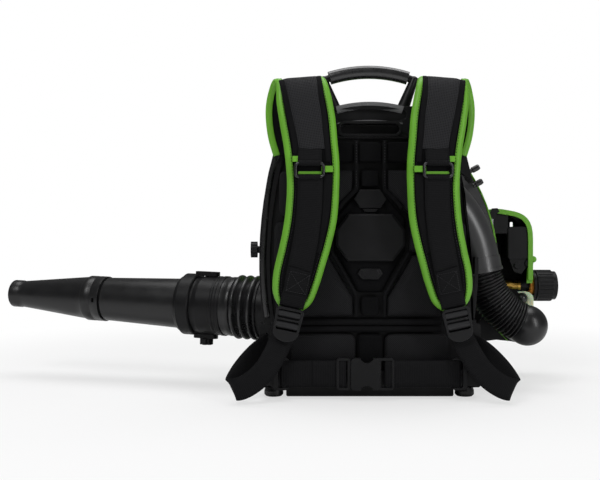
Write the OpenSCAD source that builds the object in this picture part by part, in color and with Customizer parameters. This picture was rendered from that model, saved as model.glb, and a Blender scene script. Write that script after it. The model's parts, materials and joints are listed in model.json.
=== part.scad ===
// Backpack leaf blower, standing on its four feet.
// +X is to the right for someone facing the harness, +Y is away from the wearer, +Z is up.
// The origin is on the floor, at the centre of the four feet.

/* [Pack] */
// Half of the width of the back frame at its widest
frame_half_w = 184; // [180:1:188]
// Height of the back frame's top rim
frame_top = 491; // [488:1:494]
// Depth of the back frame, from its front edge to its rear edge
frame_depth = 30; // [26:1:31]
// Width of the rail down each side of the back frame
rail_w = 18; // [14:1:20]
// Width of the carrying handle's grip
grip_w = 144; // [120:2:150]
// Diameter of the carrying handle's grip
grip_d = 22; // [18:1:24]
// Distance between the left and the right feet
foot_spacing_x = 320; // [316:1:324]
// Distance between the front and the rear feet
foot_spacing_y = 240; // [236:1:244]
// Radius of the screw holes in the feet
foot_hole_r = 3.2; // [2.5:0.1:4]

/* [Harness] */
// Thickness of a padded shoulder strap
strap_t = 15; // [12:1:18]
// Width of the harness webbing
webbing_w = 40; // [38:1:42]
// Thickness of all webbing
webbing_t = 2.4; // [2:0.2:3]
// Width of the waist belt
belt_w = 43; // [40:1:44]
// Height of the waist buckle
buckle_h = 52; // [50:1:54]

/* [Fan] */
// Radius of the impeller
impeller_r = 100; // [96:1:101]
// Number of impeller blades
blade_count = 14; // [10:1:18]
// Width of the fan housing, front to rear
housing_w = 96; // [94:1:98]
// Wall of the fan housing
housing_wall = 3; // [2.5:0.5:3.5]

/* [Blower tube] */
// How far the tube turns back from straight sideways, in degrees
tube_back = 16; // [12:1:18]
// How far the tube rises from level, in degrees
tube_rise = 2; // [0:0.5:4]
// Outer diameter of the bellows over its ribs
bellows_d = 114; // [112:1:116]
// Number of ribs on the bellows
bellows_ribs = 9; // [7:1:10]
// Outer diameter of the tube next to the clamp
tube_d = 94; // [90:1:95]
// Outer diameter of the tube where the nozzle fits
tube_tip_d = 79; // [76:1:80]
// Outer diameter of the nozzle's mouth
nozzle_tip_d = 52; // [48:1:54]
// Wall of the tube and the nozzle
tube_wall = 2.5; // [2:0.5:3]

/* [Intake] */
// Outer diameter of the smooth intake duct
duct_d = 72; // [68:1:74]
// Number of ribs on the intake hose
hose_ribs = 22; // [16:1:26]
// Outer diameter of the intake hose over its ribs
hose_d = 68; // [64:1:70]

/* [Engine] */
// Number of cooling fins on the cylinder
fin_count = 10; // [7:1:12]
// Radius of the piston's bore in the cylinder
bore_r = 24; // [22:1:26]
// Stroke of the piston
stroke = 36; // [30:1:38]
// Wall of the green engine cover
cover_wall = 3; // [2.5:0.5:4]

/* [Hidden] */
$fn = 64;

black = [0.09, 0.09, 0.1];
soft_black = [0.13, 0.13, 0.14];
webbing_black = [0.17, 0.17, 0.18];
duct_grey = [0.2, 0.2, 0.21];
green = [0.4, 0.68, 0.17];
alloy = [0.66, 0.67, 0.69];

// All depths are counted from the front of the back pads
front_foot_y = 25;
pad_y = -(front_foot_y + foot_spacing_y / 2);
frame_front = 12;
frame_rear = frame_front + frame_depth;
panel_t = 4;
panel_front = frame_front + 8;

// Places of the main axes: x and z
fan = [6, 225];
housing_mid = 110;
housing_front = housing_mid - housing_w / 2;
housing_rear = housing_mid + housing_w / 2;
volute_start = impeller_r + 5;
volute_grow = 28;
// The outlet neck runs left from the scroll to this point, where it turns to the tube's axis
tube_root = [-165, 109.5, 138.5];
neck_r = 54;
neck_len = 111;

// Stations along the tube's own axis
bellows_from = 20;
bellows_to = 85;
cuff_to = 160;
clamp_from = 141;
clamp_to = 172;
lug_from = 103;
lug_to = 148;
tube_from = 130;
tube_to = 363;
nozzle_from = 327;
nozzle_to = 540;

duct_mid = [6, 195];
duct_r = 193;
duct_y = 85;
duct_low = 10;
duct_high = 97;
cuff_len = 24;

// ---------------- helpers

function unit(v) = v / norm(v);
function signed_power(v, p) = sign(v) * pow(abs(v), p);
function arc(mid, r, from, to, n) =
    [for (i = [0:n]) let (a = from + (to - from) * i / n) mid + r * [cos(a), sin(a)]];
function with_mirror(p) = concat(p, [for (i = [len(p) - 1:-1:0]) [-p[i].x, p[i].y]]);
function bezier(p, t) =
    pow(1 - t, 3) * p[0] + 3 * pow(1 - t, 2) * t * p[1] + 3 * (1 - t) * t * t * p[2] + t * t * t * p[3];
function heading(path, i) = unit(path[min(i + 1, len(path) - 1)] - path[max(i - 1, 0)]);
function sideways(t, across) = unit(across - (across * t) * t);

// Rounded band section of width w and thickness h, square to the heading t
function band_ring(c, t, w, h, n, across = [1, 0, 0]) =
    let (a = sideways(t, across), b = cross(t, a))
    [for (i = [0:n - 1]) let (q = 360 * (i + 0.5) / n)
        c + a * w / 2 * signed_power(cos(q), 0.45) + b * h / 2 * signed_power(sin(q), 0.6)];
function flat_ring(c, t, w, h, across = [1, 0, 0]) =
    let (a = sideways(t, across) * w / 2, b = cross(t, sideways(t, across)) * h / 2)
    [c + a + b, c - a + b, c - a - b, c + a - b];
function round_ring(c, t, r, n) =
    let (a = sideways(t, [0, 1, 0]), b = cross(t, a))
    [for (i = [0:n - 1]) let (q = 360 * i / n) c + a * r * cos(q) + b * r * sin(q)];

// Triangles between ring j and ring j + 1 of n points each
function wall_faces(n, j, k) =
    [for (i = [0:n - 1]) let (m = (i + 1) % n)
        each [[j * n + i, k * n + i, k * n + m], [j * n + i, k * n + m, j * n + m]]];

// Closed solid through a row of rings
module skin(rings) {
    n = len(rings[0]);
    last = (len(rings) - 1) * n;
    polyhedron(
        points = [for (r = rings) each r],
        faces = concat(
            [for (j = [0:len(rings) - 2]) each wall_faces(n, j, j + 1)],
            [for (i = [1:n - 2]) [0, i, i + 1]],
            [for (i = [1:n - 2]) [last, last + i + 1, last + i]]
        )
    );
}

// Closed pipe: the rings run out along the outside and come back along the bore
module pipe_skin(rings) {
    n = len(rings[0]);
    m = len(rings);
    polyhedron(
        points = [for (r = rings) each r],
        faces = [for (j = [0:m - 1]) each wall_faces(n, j, (j + 1) % m)]
    );
}

// Moves a piece that is drawn from the pads' front into the row's frame
module from_pads() {
    translate([0, pad_y, 0])
        children();
}

// Stands a flat x, z outline up; it runs from depth y0 back to depth y1
module upright(y0, y1) {
    translate([0, y1, 0])
        rotate([90, 0, 0])
            linear_extrude(y1 - y0)
                children();
}

// A cylinder along Y from depth y0 to depth y1, at [x, z]
module axle(at, r, y0, y1) {
    translate([at.x, y1, at.y])
        rotate([90, 0, 0])
            cylinder(r = r, h = y1 - y0);
}

module box(low, high) {
    translate(low)
        cube(high - low);
}

module rounded_rect(low, high, r) {
    for (x = [low.x + r, high.x - r], y = [low.y + r, high.y - r])
        translate([x, y])
            circle(r);
    translate([low.x + r, low.y])
        square([high.x - low.x - 2 * r, high.y - low.y]);
    translate([low.x, low.y + r])
        square([high.x - low.x, high.y - low.y - 2 * r]);
}

// Slab with rounded corners in x and z
module slab(low, high, y0, y1, r) {
    upright(y0, y1)
        rounded_rect(low, high, r);
}

// A pad whose front bulges: corners rounded in outline, front cut by two large drums
module cushion(low, high, y0, y1, r, bulge) {
    w = high.x - low.x;
    h = high.y - low.y;
    drum_x = (w * w / 4 + bulge * bulge) / (2 * bulge);
    drum_z = (h * h / 4 + bulge * bulge) / (2 * bulge);
    intersection() {
        slab(low, high, y0, y1, r);
        translate([(low.x + high.x) / 2, y0 + drum_x, low.y - 1])
            cylinder(r = drum_x, h = h + 2, $fn = 240);
        translate([low.x - 1, y0 + drum_z, (low.y + high.y) / 2])
            rotate([0, 90, 0])
                cylinder(r = drum_z, h = w + 2, $fn = 240);
    }
}

module both_sides() {
    children();
    mirror([1, 0, 0])
        children();
}

// Puts local +Z along the blower tube's axis, from its root outwards
module on_tube(along = 0) {
    translate(tube_root)
        rotate([0, 0, -tube_back])
            rotate([0, -(90 - tube_rise), 0])
                translate([0, 0, along])
                    children();
}

// ---------------- base

foot_r = 16;
foot_h = 16;
base_low = [-170, 6];
base_high = [170, 288];
base_top = 44;

module foot_places() {
    for (x = [-1, 1], y = [0, 1])
        translate([x * foot_spacing_x / 2, front_foot_y + y * foot_spacing_y, 0])
            children();
}

module base_frame() {
    color(black) from_pads()
        difference() {
            translate([0, 0, foot_h])
                linear_extrude(base_top - foot_h)
                    rounded_rect(base_low, base_high, 22);
            // The tray is open from above, with cross ribs left standing
            translate([0, 0, foot_h + 5])
                linear_extrude(base_top)
                    difference() {
                        rounded_rect(base_low + [5, 5], base_high - [5, 5], 18);
                        for (x = [-85, 0, 85])
                            translate([x - 2, base_low.y])
                                square([4, base_high.y - base_low.y]);
                        for (y = [70, 165, 230])
                            translate([base_low.x, y - 2])
                                square([base_high.x - base_low.x, 4]);
                        foot_places_flat();
                    }
            // Drain windows in the floor of each bay
            for (x = [-128, -42, 42, 128], y = [118, 198])
                translate([x - 24, y - 18, foot_h - 1])
                    cube([48, 36, 8]);
            foot_places()
                translate([0, 0, foot_h - 1])
                    cylinder(r = foot_hole_r, h = base_top);
        }
}

module foot_places_flat() {
    for (x = [-1, 1], y = [0, 1])
        translate([x * foot_spacing_x / 2, front_foot_y + y * foot_spacing_y])
            circle(9);
}

module rubber_feet() {
    color(soft_black) from_pads()
        foot_places()
            difference() {
                rotate_extrude()
                    polygon([[0, 0], [foot_r - 3, 0], [foot_r, 3], [foot_r, 9],
                        [foot_r - 2, foot_h], [0, foot_h]]);
                translate([0, 0, -1])
                    cylinder(r = foot_hole_r, h = foot_h + 2);
            }
}

module vibration_mounts() {
    color(soft_black) from_pads() {
        for (x = mount_x, y = mount_y)
            translate([x, y, base_top + 0.2])
                rotate_extrude()
                    polygon([[0, 0], [14, 0], [14, 6], [9, 14],
                        [9, 24], [14, 32], [14, mount_h], [0, mount_h]]);
        // Two buffers that stand off the cowl's upper right edge
        for (z = [0, 1])
            translate([194 + 6 * z, 146, 386 - 26 * z])
                rotate([0, 62, 0])
                    rotate_extrude()
                        polygon([[0, 0], [4, 0], [4, 4], [5.5, 5], [5.5, 16], [4.5, 19], [0, 19]]);
    }
}

// ---------------- back frame and handle

rail_r = 700;
shoulder_mid = [72, 396];
shoulder_r = 88;
arch_r = 214;
rail_low_z = 127;

// Right half of the frame's outline, from the bottom up, drawn in by i
function frame_side(i) = concat(
    [[frame_half_w - 7 - i, foot_h + i]],
    arc([frame_half_w - rail_r, 225], rail_r - i, asin((rail_low_z - 225) / rail_r), 15.2, 10),
    arc(shoulder_mid + [0, frame_top - 491], shoulder_r - i, 12, 95, 10),
    arc([0, frame_top - arch_r], arch_r - i, 74.6, 90, 5)
);

module frame_outline(i = 0) {
    polygon(with_mirror(frame_side(i)));
}

slot_z = [437.5, 455];
slot_half = 49;
recess_z = [461, 478.5];
recess_half = 62;

module back_frame() {
    color(black) from_pads()
        difference() {
            union() {
                difference() {
                    upright(frame_front, frame_rear)
                        frame_outline();
                    // Front pocket that the pads lie in, and rear pocket behind the panel
                    upright(frame_front - 1, panel_front)
                        difference() {
                            frame_outline(rail_w);
                            translate([-80, 430])
                                square([160, 80]);
                        }
                    upright(panel_front + panel_t, frame_rear + 1)
                        frame_outline(6);
                }
                // Ribs across the rear of the panel
                upright(panel_front + panel_t - 0.5, frame_rear - 3)
                    intersection() {
                        frame_outline(3);
                        union() {
                            for (z = [70, 130, 200, 270, 340, 410])
                                translate([-190, z])
                                    square([380, 4]);
                            for (x = [-112, -60, 56, 108])
                                translate([x, 10])
                                    square([4, 490]);
                        }
                    }
                // Bead round the hand slot
                slab([-slot_half - 4, slot_z[0] - 4], [slot_half + 4, slot_z[1] + 4],
                    frame_front - 2, frame_rear - 4, 11);
                // Lower brackets that carry the strap ends, down to the base
                both_sides()
                    slab([frame_half_w - 19, foot_h], [frame_half_w, 122], frame_front - 2, frame_rear, 4);
            }
            // Hand slot, and the recess above it
            slab([-slot_half, slot_z[0]], [slot_half, slot_z[1]], -1, frame_rear + 1, 8);
            slab([-recess_half, recess_z[0]], [recess_half, recess_z[1]],
                frame_front - 3, frame_front + 6, 8);
            // Slots in the brackets for the strap ends
            both_sides()
                slab([frame_half_w - 14.6, 64], [frame_half_w - 11.6, 108], -1, frame_rear + 1, 1.4);
            // Room for the base, which the frame stands on
            box([-170.2, frame_front - 3, 0], [170.2, frame_rear + 1, base_top + 0.2]);
            handle_stems(0.15);
        }
}

core_r = 6;
grip_arc_r = 222;
grip_mid_z = 544;
handle_y = 32;
stem_r = 8;

module handle_arc(r, half_w, inner = 0) {
    a = asin(half_w / grip_arc_r);
    translate([0, handle_y, grip_mid_z - grip_arc_r])
        rotate([90, 0, 0])
            rotate([0, 0, 90 - a])
                rotate_extrude(angle = 2 * a, $fn = 240)
                    translate([grip_arc_r, 0])
                        difference() {
                            circle(r, $fn = 48);
                            if (inner > 0)
                                circle(inner, $fn = 48);
                        }
}

stem_top = [76, 530.5];
stem_foot = [55, 476];

module handle_stems(grow) {
    run = stem_top - stem_foot;
    lean = atan2(run.x, run.y);
    both_sides()
        translate([stem_foot.x, handle_y, stem_foot.y])
            rotate([0, lean, 0])
                translate([0, 0, -grow])
                    cylinder(r1 = stem_r + 3 + grow, r2 = stem_r - 1 + grow, h = norm(run) + grow);
}

module handle_bar() {
    color(black) from_pads() {
        handle_arc(core_r, 84);
        handle_stems(0);
        both_sides()
            translate([stem_top.x, handle_y, stem_top.y])
                sphere(stem_r - 0.9);
    }
}

module handle_grip() {
    color(soft_black) from_pads()
        handle_arc(grip_d / 2, grip_w / 2 - 6, core_r + 0.15);
}

// ---------------- pads

pad_back = panel_front - 0.2;

module upper_pad() {
    color(soft_black) from_pads() {
        cushion([-22, 388], [22, 424], -3, pad_back, 5, 4);
        both_sides() {
            cushion([26, 388], [74, 424], -3, pad_back, 7, 4);
            slab([22.4, 386], [25.6, 426], 2, pad_back, 1.5);
        }
    }
}

hex_z = [314, 344];
clip_z = [197, 217];

module hexagon_plate(z, half, tip, y0, y1) {
    mid = (z[0] + z[1]) / 2;
    upright(y0, y1)
        polygon(with_mirror([[half, z[0]], [half + tip, mid], [half, z[1]]]));
}

module spine_pad() {
    color(soft_black) from_pads() {
        cushion([-16, 347], [16, 378], -2, pad_back, 4, 3);
        difference() {
            hexagon_plate(hex_z, 17, 9, 0, pad_back);
            hexagon_plate([hex_z[0] + 5, hex_z[1] - 5], 13, 6, -1, 3);
        }
        difference() {
            hexagon_plate(clip_z, 18, 7, -2, pad_back);
            hexagon_plate([clip_z[0] + 5, clip_z[1] - 5], 12, 4, -3, 1);
        }
        cushion([-16.5, 134], [16.5, 168], -2, pad_back, 4, 3);
        // Foam that carries the badge plate
        slab([-40, 232], [40, 298], 8.2, pad_back, 14);
        // Ribs down both sides of the spine
        both_sides() {
            slab([20, 134], [24, 186], 2, pad_back, 1.9);
            slab([20, 352], [24, 380], 2, pad_back, 1.9);
        }
    }
}

module badge_plate() {
    color(black) from_pads()
        difference() {
            translate([0, 8, 265])
                rotate([90, 0, 0])
                    linear_extrude(12, scale = 0.95)
                        polygon(with_mirror([[37, -39], [57, -14], [57, 16], [37, 39]]));
            // Shallow recess for a badge, left plain
            upright(-6, -3)
                translate([0, 265])
                    polygon(with_mirror([[34, -33], [50.5, -12], [50.5, 14], [34, 33]]));
        }
}

module mesh_cushion(points, y0, bulge, mid, span) {
    drum = (span * span / 4 + bulge * bulge) / (2 * bulge);
    intersection() {
        upright(y0, pad_back)
            polygon(points);
        translate([mid.x, y0 + drum, mid.y - span])
            cylinder(r = drum, h = 2 * span, $fn = 240);
    }
}

module mesh_pads() {
    color(webbing_black) from_pads()
        both_sides() {
            mesh_cushion([[27, 378], [104, 378], [112, 340], [112, 240], [66, 240], [66, 290],
                [38, 315], [27, 335]], -4, 6, [70, 300], 130);
            mesh_cushion([[27, 134], [118, 134], [116, 235], [70, 235], [60, 214], [30, 186]],
                -4, 6, [70, 180], 130);
        }
}

module side_pads() {
    color(soft_black) from_pads()
        both_sides() {
            cushion([126, 300], [150, 375], -6, pad_back, 9, 6);
            cushion([128, 213], [158, 291], -7, pad_back, 9, 6);
            cushion([127, 134], [156, 205], -6, pad_back, 9, 6);
        }
}

module lumbar_pad() {
    color(soft_black) from_pads() {
        // Two sewn beads over the belt pad
        for (z = [125, 113.5])
            translate([-116, 6, z])
                rotate([0, 90, 0])
                    cylinder(r = 5.4, h = 232, $fn = 32);
        slab([-120, 106.5], [120, 131], 6.5, pad_back, 3);
        cushion([-22, 52], [22, 106], -8, pad_back, 5, 5);
        both_sides()
            cushion([23, 52], [132, 106], -8, pad_back, 10, 7);
    }
}

// ---------------- shoulder harness

// The left strap: x, depth, z, width; from the anchor at the back, over the top, down the front
STRAP = [
    [-119, 4.2, 408, 82], [-126, 4.2, 440, 86], [-129, 4, 474, 86], [-125, 1, 500, 84],
    [-119, -8, 515, 80], [-115, -22, 518, 78], [-111, -35, 508, 80], [-106, -44, 486, 86],
    [-101, -50, 450, 87], [-97, -53, 415, 83], [-95, -54, 381, 82], [-95, -54, 344, 80],
    [-98, -52, 302, 81], [-104, -49, 268, 79], [-112, -45, 236, 77], [-121, -40, 202, 75],
    [-127, -36, 173, 66], [-131, -34, 158, 50], [-133, -33, 151, 34]
];

module shoulder_strap() {
    path = [for (p = STRAP) [p[0], p[1], p[2]]];
    skin([for (i = [0:len(path) - 1])
        band_ring(path[i], heading(path, i), STRAP[i][3], strap_t, 16)]);
}

module shoulder_strap_left() {
    color(soft_black) from_pads()
        shoulder_strap();
}

module shoulder_strap_right() {
    color(soft_black) from_pads()
        mirror([1, 0, 0])
            shoulder_strap();
}

ring_at = [-101, -66.5, 371];

module strap_ring() {
    // Rounded wire loop: four straight bars and four elbows
    wire = 2.4;
    half = [22, 11];
    corner = 6;
    translate(ring_at)
        rotate([90, 0, 0]) {
            for (x = [-1, 1])
                translate([x * half.x, half.y - corner, 0])
                    rotate([90, 0, 0])
                        cylinder(r = wire, h = 2 * (half.y - corner), $fn = 24);
            for (y = [-1, 1])
                translate([-half.x + corner, y * half.y, 0])
                    rotate([0, 90, 0])
                        cylinder(r = wire, h = 2 * (half.x - corner), $fn = 24);
            for (q = [0:3])
                mirror([q % 2, 0, 0])
                    mirror([0, floor(q / 2), 0])
                        translate([half.x - corner, half.y - corner, 0])
                            rotate_extrude(angle = 90)
                                translate([corner, 0])
                                    circle(wire, $fn = 24);
        }
}

module strap_rings() {
    color(alloy) from_pads()
        both_sides()
            strap_ring();
}

// Left webbing, from the ring's lower bar down the strap to its sewn end
WEBBING = [
    [-100, -65.6, 356], [-100, -63.6, 340], [-100.5, -62.2, 320], [-102, -61.2, 302], [-106, -58.9, 268],
    [-112, -55.2, 236], [-118, -51.8, 208], [-123, -47.8, 180], [-128, -43.6, 162], [-130, -43.2, 152.6]
];
// Short tab that holds the ring's upper bar on the strap
TAB = [[-100.5, -65.6, 386], [-100.5, -63.4, 396], [-99.8, -62, 408]];

module webbing_strip(path, w, across = [1, 0, 0]) {
    skin([for (i = [0:len(path) - 1])
        flat_ring(path[i], heading(path, i), w, webbing_t, across)]);
}

module ring_sleeve(z) {
    translate([ring_at.x - webbing_w / 2 + 4, ring_at.y, ring_at.z + z])
        rotate([0, 90, 0])
            difference() {
                cylinder(r = 5, h = webbing_w - 8, $fn = 32);
                translate([0, 0, -1])
                    cylinder(r = 2.6, h = webbing_w, $fn = 32);
            }
}

module strap_webbing() {
    color(webbing_black) from_pads()
        both_sides() {
            webbing_strip(WEBBING, webbing_w);
            webbing_strip(TAB, webbing_w - 10);
            ring_sleeve(-11);
            ring_sleeve(11);
        }
}

adjuster_at = [-136, -44.6, 128];
adjuster_tilt = 12;

// Ladder-lock: a frame with two cross bars and a rounded tab
module adjuster() {
    translate(adjuster_at)
        rotate([0, adjuster_tilt, 0])
            difference() {
                union() {
                    slab([-25, -22], [25, 24], -3.5, 3.5, 6);
                    slab([-17, -31], [17, -10], -4.5, 1, 8);
                }
                slab([-20, 10], [20, 17], -6, 6, 2);
                slab([-20, -3], [20, 4], -6, 6, 2);
                slab([-20, -15], [20, -9], -6, 6, 2);
            }
}

module adjuster_left() {
    color(black) from_pads()
        adjuster();
}

module adjuster_right() {
    color(black) from_pads()
        mirror([1, 0, 0])
            adjuster();
}

// Left tail: out of the adjuster, down to the fold, and back through the slot in the frame's bracket
TAIL = [
    [-137, -39.4, 124], [-142, -39.4, 110], [-150, -40.6, 97], [-164, -49, 78], [-185, -56, 58],
    [-204, -59, 41], [-216, -59, 31], [-222, -54, 26], [-222, -46, 26], [-216, -38, 31],
    [-202, -26, 45], [-186, -12, 67], [-175, 0, 82], [-170.9, 10, 86], [-170.9, 28, 86]
];
ACROSS = [[1, 0, 0], [0.42, 0, -0.9], [0, 0, -1]];
// The direction across the webbing turns along the tail
function blend_of(a, b, t) = unit(a * (1 - t) + b * t);
function tail_across(i) =
    i < 6 ? blend_of(ACROSS[0], ACROSS[1], i / 6) : i < 9 ? unit(ACROSS[1])
    : blend_of(ACROSS[1], ACROSS[2], min(1, (i - 8) / 4));

module tail_webbing() {
    skin([for (i = [0:len(TAIL) - 1])
        flat_ring(TAIL[i], heading(TAIL, i), webbing_w - 4, webbing_t, tail_across(i))]);
}

module tail_webbing_left() {
    color(webbing_black) from_pads()
        tail_webbing();
}

module tail_webbing_right() {
    color(webbing_black) from_pads()
        mirror([1, 0, 0])
            tail_webbing();
}

// ---------------- waist belt

belt_z = 44;
belt_y = -24;
loop_bar_x = [-143, 139];
plug_bar_x = -46;
socket_bar_x = 26;

// Webbing from one round bar to the next, folded round both
module belt_run(from, to) {
    webbing_strip([for (i = [0:4]) [from + 4 + (to - from - 8) * i / 4, belt_y, belt_z]], belt_w, [0, 0, 1]);
    for (x = [from, to])
        translate([x, belt_y, belt_z - belt_w / 2])
            difference() {
                cylinder(r = 5.6, h = belt_w, $fn = 32);
                translate([0, 0, -1])
                    cylinder(r = 3.2, h = belt_w + 2, $fn = 32);
            }
}

module belt_left() {
    color(webbing_black) from_pads()
        belt_run(loop_bar_x[0], plug_bar_x);
}

module belt_right() {
    color(webbing_black) from_pads()
        belt_run(socket_bar_x, loop_bar_x[1]);
}

arm_z = [belt_z - 20, belt_z + 1];

module belt_loops() {
    color(black) from_pads()
        for (s = [0, 1])
            mirror([s, 0, 0]) {
                bar = s == 0 ? loop_bar_x[0] : -loop_bar_x[1];
                difference() {
                    slab([bar - 16, belt_z - 26], [bar + 9, belt_z + 26], belt_y - 4, belt_y + 4, 6);
                    slab([bar - 9, belt_z - 22.3], [bar + 20, belt_z + 22.3], belt_y - 9, belt_y + 9, 3);
                }
                translate([bar, belt_y, belt_z - 24])
                    cylinder(r = 3, h = 48, $fn = 32);
                // Arm back to the frame's bracket
                slab([-frame_half_w + 6, arm_z[0]], [bar - 10, arm_z[1]], belt_y + 1, belt_y + 8, 3);
                slab([-frame_half_w + 2, arm_z[0]], [-frame_half_w + 10, arm_z[1]],
                    belt_y + 1, frame_front - 2.2, 2);
            }
}

block_x = [-34, 12];
notch_x = -8;
notch_r = 11;
// The belt's fold fills the windows, so their corners stay tight
window_r = 1.2;

module buckle_socket() {
    half = buckle_h / 2;
    color(black) from_pads()
        difference() {
            union() {
                slab([block_x[0], belt_z - half], [block_x[1], belt_z + half], belt_y - 8, belt_y + 6, 7);
                slab([block_x[1] - 8, belt_z - half], [36, belt_z + half], belt_y - 5, belt_y + 4, 6);
            }
            // Window that leaves the webbing bar, which the belt wraps
            slab([15, belt_z - half + 4], [33, belt_z + half - 4], belt_y - 9, belt_y + 7, window_r);
            // The belt leaves behind the outer bar
            box([32, belt_y - 1.8, belt_z - 22.3], [40, belt_y + 8, belt_z + 22.3]);
            // Mouth for the plug's arms, open to the left
            box([block_x[0] - 1, belt_y - 4.5, belt_z - 19], [5, belt_y + 2.5, belt_z + 19]);
            // Half-round notches where the thumbs press
            for (z = [-1, 1])
                translate([notch_x, belt_y + 7, belt_z + z * (half + 3)])
                    rotate([90, 0, 0])
                        cylinder(r = notch_r, h = 16);
        }
    color(black) from_pads()
        translate([socket_bar_x, belt_y, belt_z - half + 3])
            cylinder(r = 3, h = buckle_h - 6, $fn = 32);
}

module buckle_plug() {
    half = buckle_h / 2;
    color(black) from_pads() {
        difference() {
            slab([-57, belt_z - half], [block_x[0] - 0.4, belt_z + half], belt_y - 5, belt_y + 4, 6);
            slab([-53, belt_z - half + 4], [-39, belt_z + half - 4], belt_y - 9, belt_y + 7, window_r);
            box([-60, belt_y - 1.8, belt_z - 22.3], [-52, belt_y + 8, belt_z + 22.3]);
        }
        translate([plug_bar_x, belt_y, belt_z - half + 3])
            cylinder(r = 3, h = buckle_h - 6, $fn = 32);
        // Centre guide
        box([-38, belt_y - 3.5, belt_z - 4], [-2, belt_y + 1.5, belt_z + 4]);
    }
}

// One springy arm of the plug, from its root to the catch in the notch
module buckle_arm() {
    upright(belt_y - 3.5, belt_y + 1.5)
        polygon([[-34, 8], [-34, 13.5], [-18, 15.5], [-15, 18.2], [-1, 18.2], [2, 14], [-12, 9], [-26, 8]]);
}

module buckle_tab_upper() {
    color(black) from_pads()
        translate([0, 0, belt_z])
            buckle_arm();
}

module buckle_tab_lower() {
    color(black) from_pads()
        translate([0, 0, belt_z])
            mirror([0, 0, 1])
                buckle_arm();
}

// ---------------- fan

// Scroll radius: a is counted from the tongue on the left, clockwise seen from the front
function scroll_r(a, extra) = volute_start + extra + volute_grow * a / 270;

module scroll_outline(extra) {
    spiral = [for (a = [0:6:270]) fan + scroll_r(a, extra) * [-cos(a), sin(a)]];
    polygon(concat(spiral, [
        [fan.x - 60, fan.y - scroll_r(270, extra)],
        [fan.x - 60, fan.y - scroll_r(270, extra) + 80],
        [fan.x - scroll_r(0, extra), fan.y - 40]
    ]));
    translate(fan)
        circle(scroll_r(0, extra) - 0.5, $fn = 120);
}

// The scroll and its round outlet, grown by extra; the outlet bends back to the tube's axis
module housing_form(extra) {
    upright(housing_front - extra + housing_wall, housing_rear + extra - housing_wall)
        scroll_outline(extra);
    translate(tube_root)
        rotate([0, 90, 0])
            cylinder(r = neck_r - housing_wall + extra, h = neck_len);
}

module housing_shell() {
    difference() {
        union() {
            housing_form(housing_wall);
            // Collar round the turn, and the stub with its flange that the bellows seats on
            translate(tube_root)
                rotate([0, 90, 0])
                    cylinder(r = neck_r + 6, h = 24);
            on_tube(-16)
                cylinder(r = neck_r - 1.5, h = bellows_from + 15.8);
            on_tube(bellows_from - 4)
                cylinder(r = neck_r + 1.5, h = 3.8);
            // Ribbed seam flange round the scroll
            upright(housing_mid - 3, housing_mid + 3)
                scroll_outline(housing_wall + 5);
        }
        housing_form(0);
        on_tube(-14)
            cylinder(r = neck_r - 4.5, h = bellows_from + 16);
    }
}

bolt_angles = [20, 60, 140, 175, 210, 245];
eye_r = 66;

module housing_bolts(r, y0, y1) {
    for (a = bolt_angles)
        axle(fan + (scroll_r(a, 0) + 8) * [-cos(a), sin(a)], r, y0, y1);
}

mount_x = [-80, 92];
mount_y = [91, 140];
mount_h = 38;

// Feet that stand on the rubber mounts
module housing_feet(y0, y1) {
    for (x = mount_x)
        slab([x - 14, base_top + mount_h + 0.4], [x + 14, 134], y0, y1, 3);
}

module fan_housing_front() {
    color(black) from_pads()
        difference() {
            union() {
                intersection() {
                    housing_shell();
                    box([-400, 0, 0], [400, housing_mid - 0.1, 500]);
                }
                housing_bolts(5.5, housing_mid - 22, housing_mid - 0.1);
                housing_feet(mount_y[0] - 12, mount_y[0] + 12);
            }
            housing_form(0);
            axle(fan, eye_r, 0, housing_mid);
            housing_bolts(2.6, housing_mid - 18, housing_mid + 1);
        }
}

module fan_housing_rear() {
    strut_y = [cover_y[0] - 12, cover_y[0] - 0.2];
    color(black) from_pads()
        difference() {
            union() {
                intersection() {
                    housing_shell();
                    box([-400, housing_mid + 0.1, 0], [400, 400, 500]);
                }
                housing_bolts(5.5, housing_mid + 0.1, housing_mid + 22);
                housing_feet(mount_y[1] - 12, mount_y[1] + 12);
                // Struts that the engine cover's front edge is screwed to
                slab([cover_left - 1, 250], [-98, 272], strut_y[0], strut_y[1], 2);
                slab([-52, 325], [-32, 421], strut_y[0], strut_y[1], 2);
                slab([128, 240], [246, 256], strut_y[0], strut_y[1], 2);
                // Stiffening rings and spokes behind the scroll
                difference() {
                    axle(fan, 74, housing_rear - 1, housing_rear + 4);
                    axle(fan, 44, housing_rear - 2, housing_rear + 5);
                }
                for (a = [0:30:330])
                    translate([fan.x, housing_rear - 0.5, fan.y])
                        rotate([0, a, 0])
                            translate([72, 0, -1.5])
                                cube([26, 4, 3]);
            }
            housing_form(0);
            axle(fan, 15, housing_mid, housing_rear + 10);
            housing_bolts(2.6, housing_mid - 1, housing_mid + 18);
        }
}

shaft_r = 8;
hub_r = 20;
blade_lean = 38;
impeller_front = housing_front + 10;
impeller_rear = housing_rear - 10;

// One blade: a bowed strip from the hub to the rim, leaning back
module blade_outline() {
    n = 10;
    path = [for (i = [0:n])
        let (a = -blade_lean * pow(i / n, 1.3)) (34 + (impeller_r - 38) * i / n) * [cos(a), sin(a)]];
    polygon(concat(
        [for (p = path) p * (norm(p) + 0.8) / norm(p) + 1.3 * [p.y, -p.x] / norm(p)],
        [for (i = [n:-1:0]) path[i] - 1.3 * [path[i].y, -path[i].x] / norm(path[i])]
    ));
}

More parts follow.
